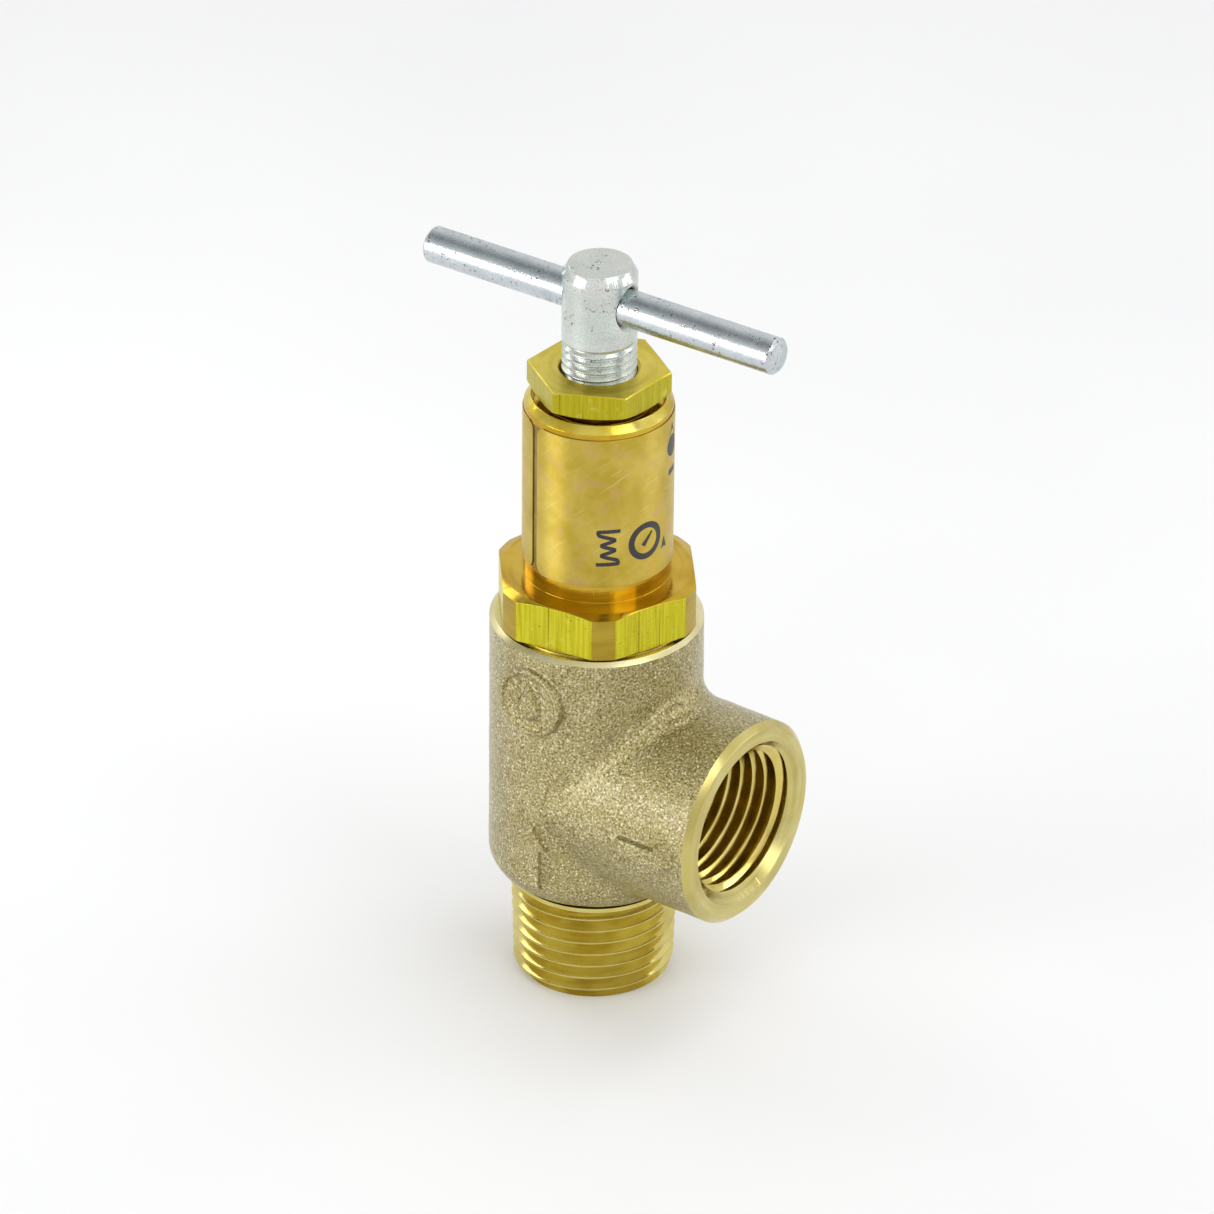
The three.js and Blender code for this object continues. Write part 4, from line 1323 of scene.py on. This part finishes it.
# ---- disc assembly ----
def disc_holder():
    """The guided holder of the seat disc: three wings, a recess for the disc and a spring pilot."""
    skirt, shoulder, top = holder_low[2], spring_low[2] - 0.05, holder_high[2]
    r, edge = 9.0, 0.8
    corners = [
        (0, skirt, 0),
        (r, skirt, 0.15),
        (r, shoulder - edge, 0.15),
        (r - edge, shoulder, 0.15),
        (PILOT_R, shoulder, 0.15),
        (PILOT_R, top - 0.6, 0.15),
        (PILOT_R - 0.6, top, 0.15),
        (0, top, 0),
    ]
    holder = turned("disc_guide", [TURNED], corners, MEDIUM)
    for azimuth in (90, 210, 330):
        joined(holder, guide_wing(azimuth, skirt, shoulder - 1), "UNION")
    recess_r, recess_top = disc_high[0] + 0.1, disc_high[2] + 0.05
    hole_top = disc_screw_high[2] + 0.5
    recess = [
        (0, skirt - 1, 0),
        (recess_r, skirt - 1, 0),
        (recess_r, recess_top, 0.1),
        (DISC_HOLE_R, recess_top, 0.05),
        (DISC_HOLE_R, hole_top, 0.05),
        (0, hole_top + 0.5, 0),
    ]
    joined(holder, turned("disc_recess", [TURNED], recess, MEDIUM), "DIFFERENCE")
    return reshaded(holder)


def guide_wing(azimuth, bottom, top):
    """A rib standing out of the holder to run in the chamber's bore, its outer face rounded."""
    width, inner, outer, edge = 1.5, 7.5, 9.53, 0.3
    half = math.asin(width / outer)
    outer_edge = [(outer * math.cos(a), outer * math.sin(a)) for a in np.linspace(-half, half, 7)]
    section = [(inner, -width)] + outer_edge + [(inner, width)]
    loops = []
    for z, inset in ((bottom, edge), (bottom + edge, 0), (top - edge, 0), (top, edge)):
        loops.append([(x - (inset if x > inner else 0), y, z) for x, y in section])
    wing = swept("wing", np.array(loops), [TURNED])
    return moved(wing, Matrix.Rotation(math.radians(azimuth), 4, "Z"))


def disc_screw():
    """The slotted screw that holds washer and disc in the holder."""
    low, high = disc_screw_low[2], disc_screw_high[2]
    head, neck = disc_screw_high[0], washer_low[2] - 0.04
    corners = [
        (0, low, 0),
        (head - 0.4, low, 0.2),
        (head, low + 0.4, 0.2),
        (head, neck, 0.1),
        (DISC_SCREW_R, neck, 0.05),
        (DISC_SCREW_R, high - 0.4, 0.1),
        (DISC_SCREW_R - 0.4, high, 0.1),
        (0, high, 0),
    ]
    screw = turned("disc_fixing_screw", [TURNED], corners, COARSE)
    reach, half, depth = head + 1, 0.35, 0.8
    section = [(-reach, -half), (reach, -half), (reach, half), (-reach, half)]
    loops = np.array([[(x, y, z) for x, y in section] for z in (low - 1, low + depth)])
    joined(screw, swept("slot", loops, [TURNED]), "DIFFERENCE")
    return reshaded(screw)


# ---- stage: angles in degrees, the camera's target in millimetres, other lengths in metres ----
CAMERA_YAW = 35.75
CAMERA_RISE = 30.37
CAMERA_ROLL = 0.62
CAMERA_DISTANCE = 1.0
CAMERA_LENS = 233.2
CAMERA_TARGET_RIGHT = 1.295
CAMERA_TARGET_Z = 52.87


def add_camera():
    """A long lens looking down at the valve from its front right."""
    camera = in_scene("camera", bpy.data.cameras.new("camera"))
    camera.data.lens = CAMERA_LENS
    turns = ((CAMERA_YAW, "Z"), (90 - CAMERA_RISE, "X"), (CAMERA_ROLL, "Z"))
    yaw, tilt, roll = (Matrix.Rotation(math.radians(angle), 4, axis) for angle, axis in turns)
    lift = Matrix.Translation((0, 0, CAMERA_TARGET_Z * MM))
    aside = Matrix.Translation((CAMERA_TARGET_RIGHT * MM, 0, 0))
    away = Matrix.Translation((0, 0, CAMERA_DISTANCE))
    camera.matrix_world = lift @ yaw @ aside @ tilt @ away @ roll
    bpy.context.scene.camera = camera


def toward(azimuth, rise):
    """The direction at an azimuth, 0 on the -Y side and 90 on the +X side, and a rise in degrees."""
    a, e = math.radians(azimuth), math.radians(rise)
    return Vector((math.sin(a) * math.cos(e), -math.cos(a) * math.cos(e), math.sin(e)))


def add_light(name, azimuth, rise, width, height, brightness, distance=0.9, aim=0.05):
    """A soft panel facing a height on the valve's axis, as bright as the given radiance."""
    lamp = bpy.data.lights.new(name, "AREA")
    lamp.shape = "RECTANGLE"
    lamp.size, lamp.size_y = width, height
    lamp.energy = brightness * math.pi * width * height
    obj = in_scene(name, lamp)
    way = toward(azimuth, rise)
    obj.location = Vector((0, 0, aim)) + way * distance
    obj.rotation_mode = "QUATERNION"
    obj.rotation_quaternion = way.to_track_quat("Z", "Y")
    obj.visible_camera = False


def add_floor():
    """A wide pale floor under the valve's end face, turned up out of sight at its edge."""
    reach, rim = 6.0, 1.0
    rings = [(0.001, 0), (0.2, 0), (0.6, 0), (2.0, 0), (reach, 0), (reach + rim, 0.35)]
    angles = np.arange(64) * TURN / 64
    grid = [[(r * math.cos(a), r * math.sin(a), z) for a in angles] for r, z in rings]
    mesh = bpy.data.meshes.new("floor")
    points = np.array(grid).reshape(-1, 3).tolist()
    mesh.from_pydata(points, [], [[*range(64)]] + skin(len(rings), 64).tolist())
    mesh.materials.append(pale_floor())
    mesh.shade_smooth()
    in_scene("floor", mesh)


DARK_SPOT = (-70, 58)  # azimuth and rise of the roof's darkest place
DARK_REACH = 48  # how far round that place the roof is darker
DARK_ROOF = (0.17, 0.19, 0.2, 1)
TENT_WALL = (0.95, 0.95, 0.95, 1)


def add_world():
    """A white tent whose roof darkens towards a spot high up on the left."""
    world = bpy.data.worlds.new("studio")
    bpy.context.scene.world = world
    world.use_nodes = True
    tent = Graph(world.node_tree)
    direction = tent.node("TexCoord").outputs["Generated"]
    from_spot = tent.maths("ARCCOSINE", tent.vector("DOT_PRODUCT", direction, toward(*DARK_SPOT)))
    brightness = tent.span(from_spot, 0.0, math.radians(DARK_REACH))
    tone = tent.mix(brightness, DARK_ROOF, TENT_WALL)
    tent.feed(tent.nodes["Background"].inputs["Color"], tone)


# ---- the valve ----
def place(piece, body, slot, node):
    """The piece rides on a body and stands for a CAD node, which it hides. The slot is not used."""
    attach(piece, body)
    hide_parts(node)


add_camera()
place(valve_casting(), "valve_body", "cast_brass", "valve_body")
place(bonnet(), "valve_body", "turned_brass", "bonnet")
gasket = ring("bonnet_sealing_ring", "bonnet_gasket", CHAMBER_R + 0.05, 0.1, FIBRE)
place(gasket, "valve_body", "gasket", "bonnet_gasket")
place(label_band(), "valve_body", "label_foil", "bonnet_label")
for mark in label_print():
    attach(mark, "valve_body")
place(adjusting_screw(), "adjusting_screw", "zinc_plate", "adjusting_screw")
place(handle_bar(), "adjusting_screw", "zinc_plate", "t_bar")
place(lock_nut(), "lock_nut", "turned_brass", "lock_nut")
place(spring_button(), "upper_spring_seat", "turned_brass", "spring_button")
place(disc_holder(), "disc_assembly", "turned_brass", "disc_holder")
seat_disc = ring("seat_disc_rubber", "seat_disc", DISC_HOLE_R, 0.15, RUBBER)
place(seat_disc, "disc_assembly", "seat_rubber", "seat_disc")
washer = ring("disc_retaining_washer", "disc_washer", DISC_HOLE_R, 0.1, TURNED)
place(washer, "disc_assembly", "turned_brass", "disc_washer")
place(disc_screw(), "disc_assembly", "turned_brass", "disc_screw")

# the spring in two halves, from its foot to the middle and from the middle to its head
middle = SPRING_TURNS / 2
lower_spring = spring_part("spring_lower", 0, middle)
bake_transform(lower_spring)
upper_spring = spring_part("spring_upper", middle, SPRING_TURNS)
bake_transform(upper_spring)
for piece in (lower_spring, upper_spring):
    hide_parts("spring")

add_floor()
add_world()
add_light("key", -29, 10, 0.45, 0.36, 4.9)
add_light("left_panel", -96, 44, 0.1, 0.09, 2.2, distance=0.25, aim=0.007)
add_light("right_panel", 147, 60, 0.2, 0.2, 1.5, distance=0.5)
add_light("rim", 125, 10, 0.5, 0.2, 2.6)
add_light("fill", 80, 40, 0.5, 0.5, 1.5)
bpy.context.scene.view_settings.view_transform = "Standard"
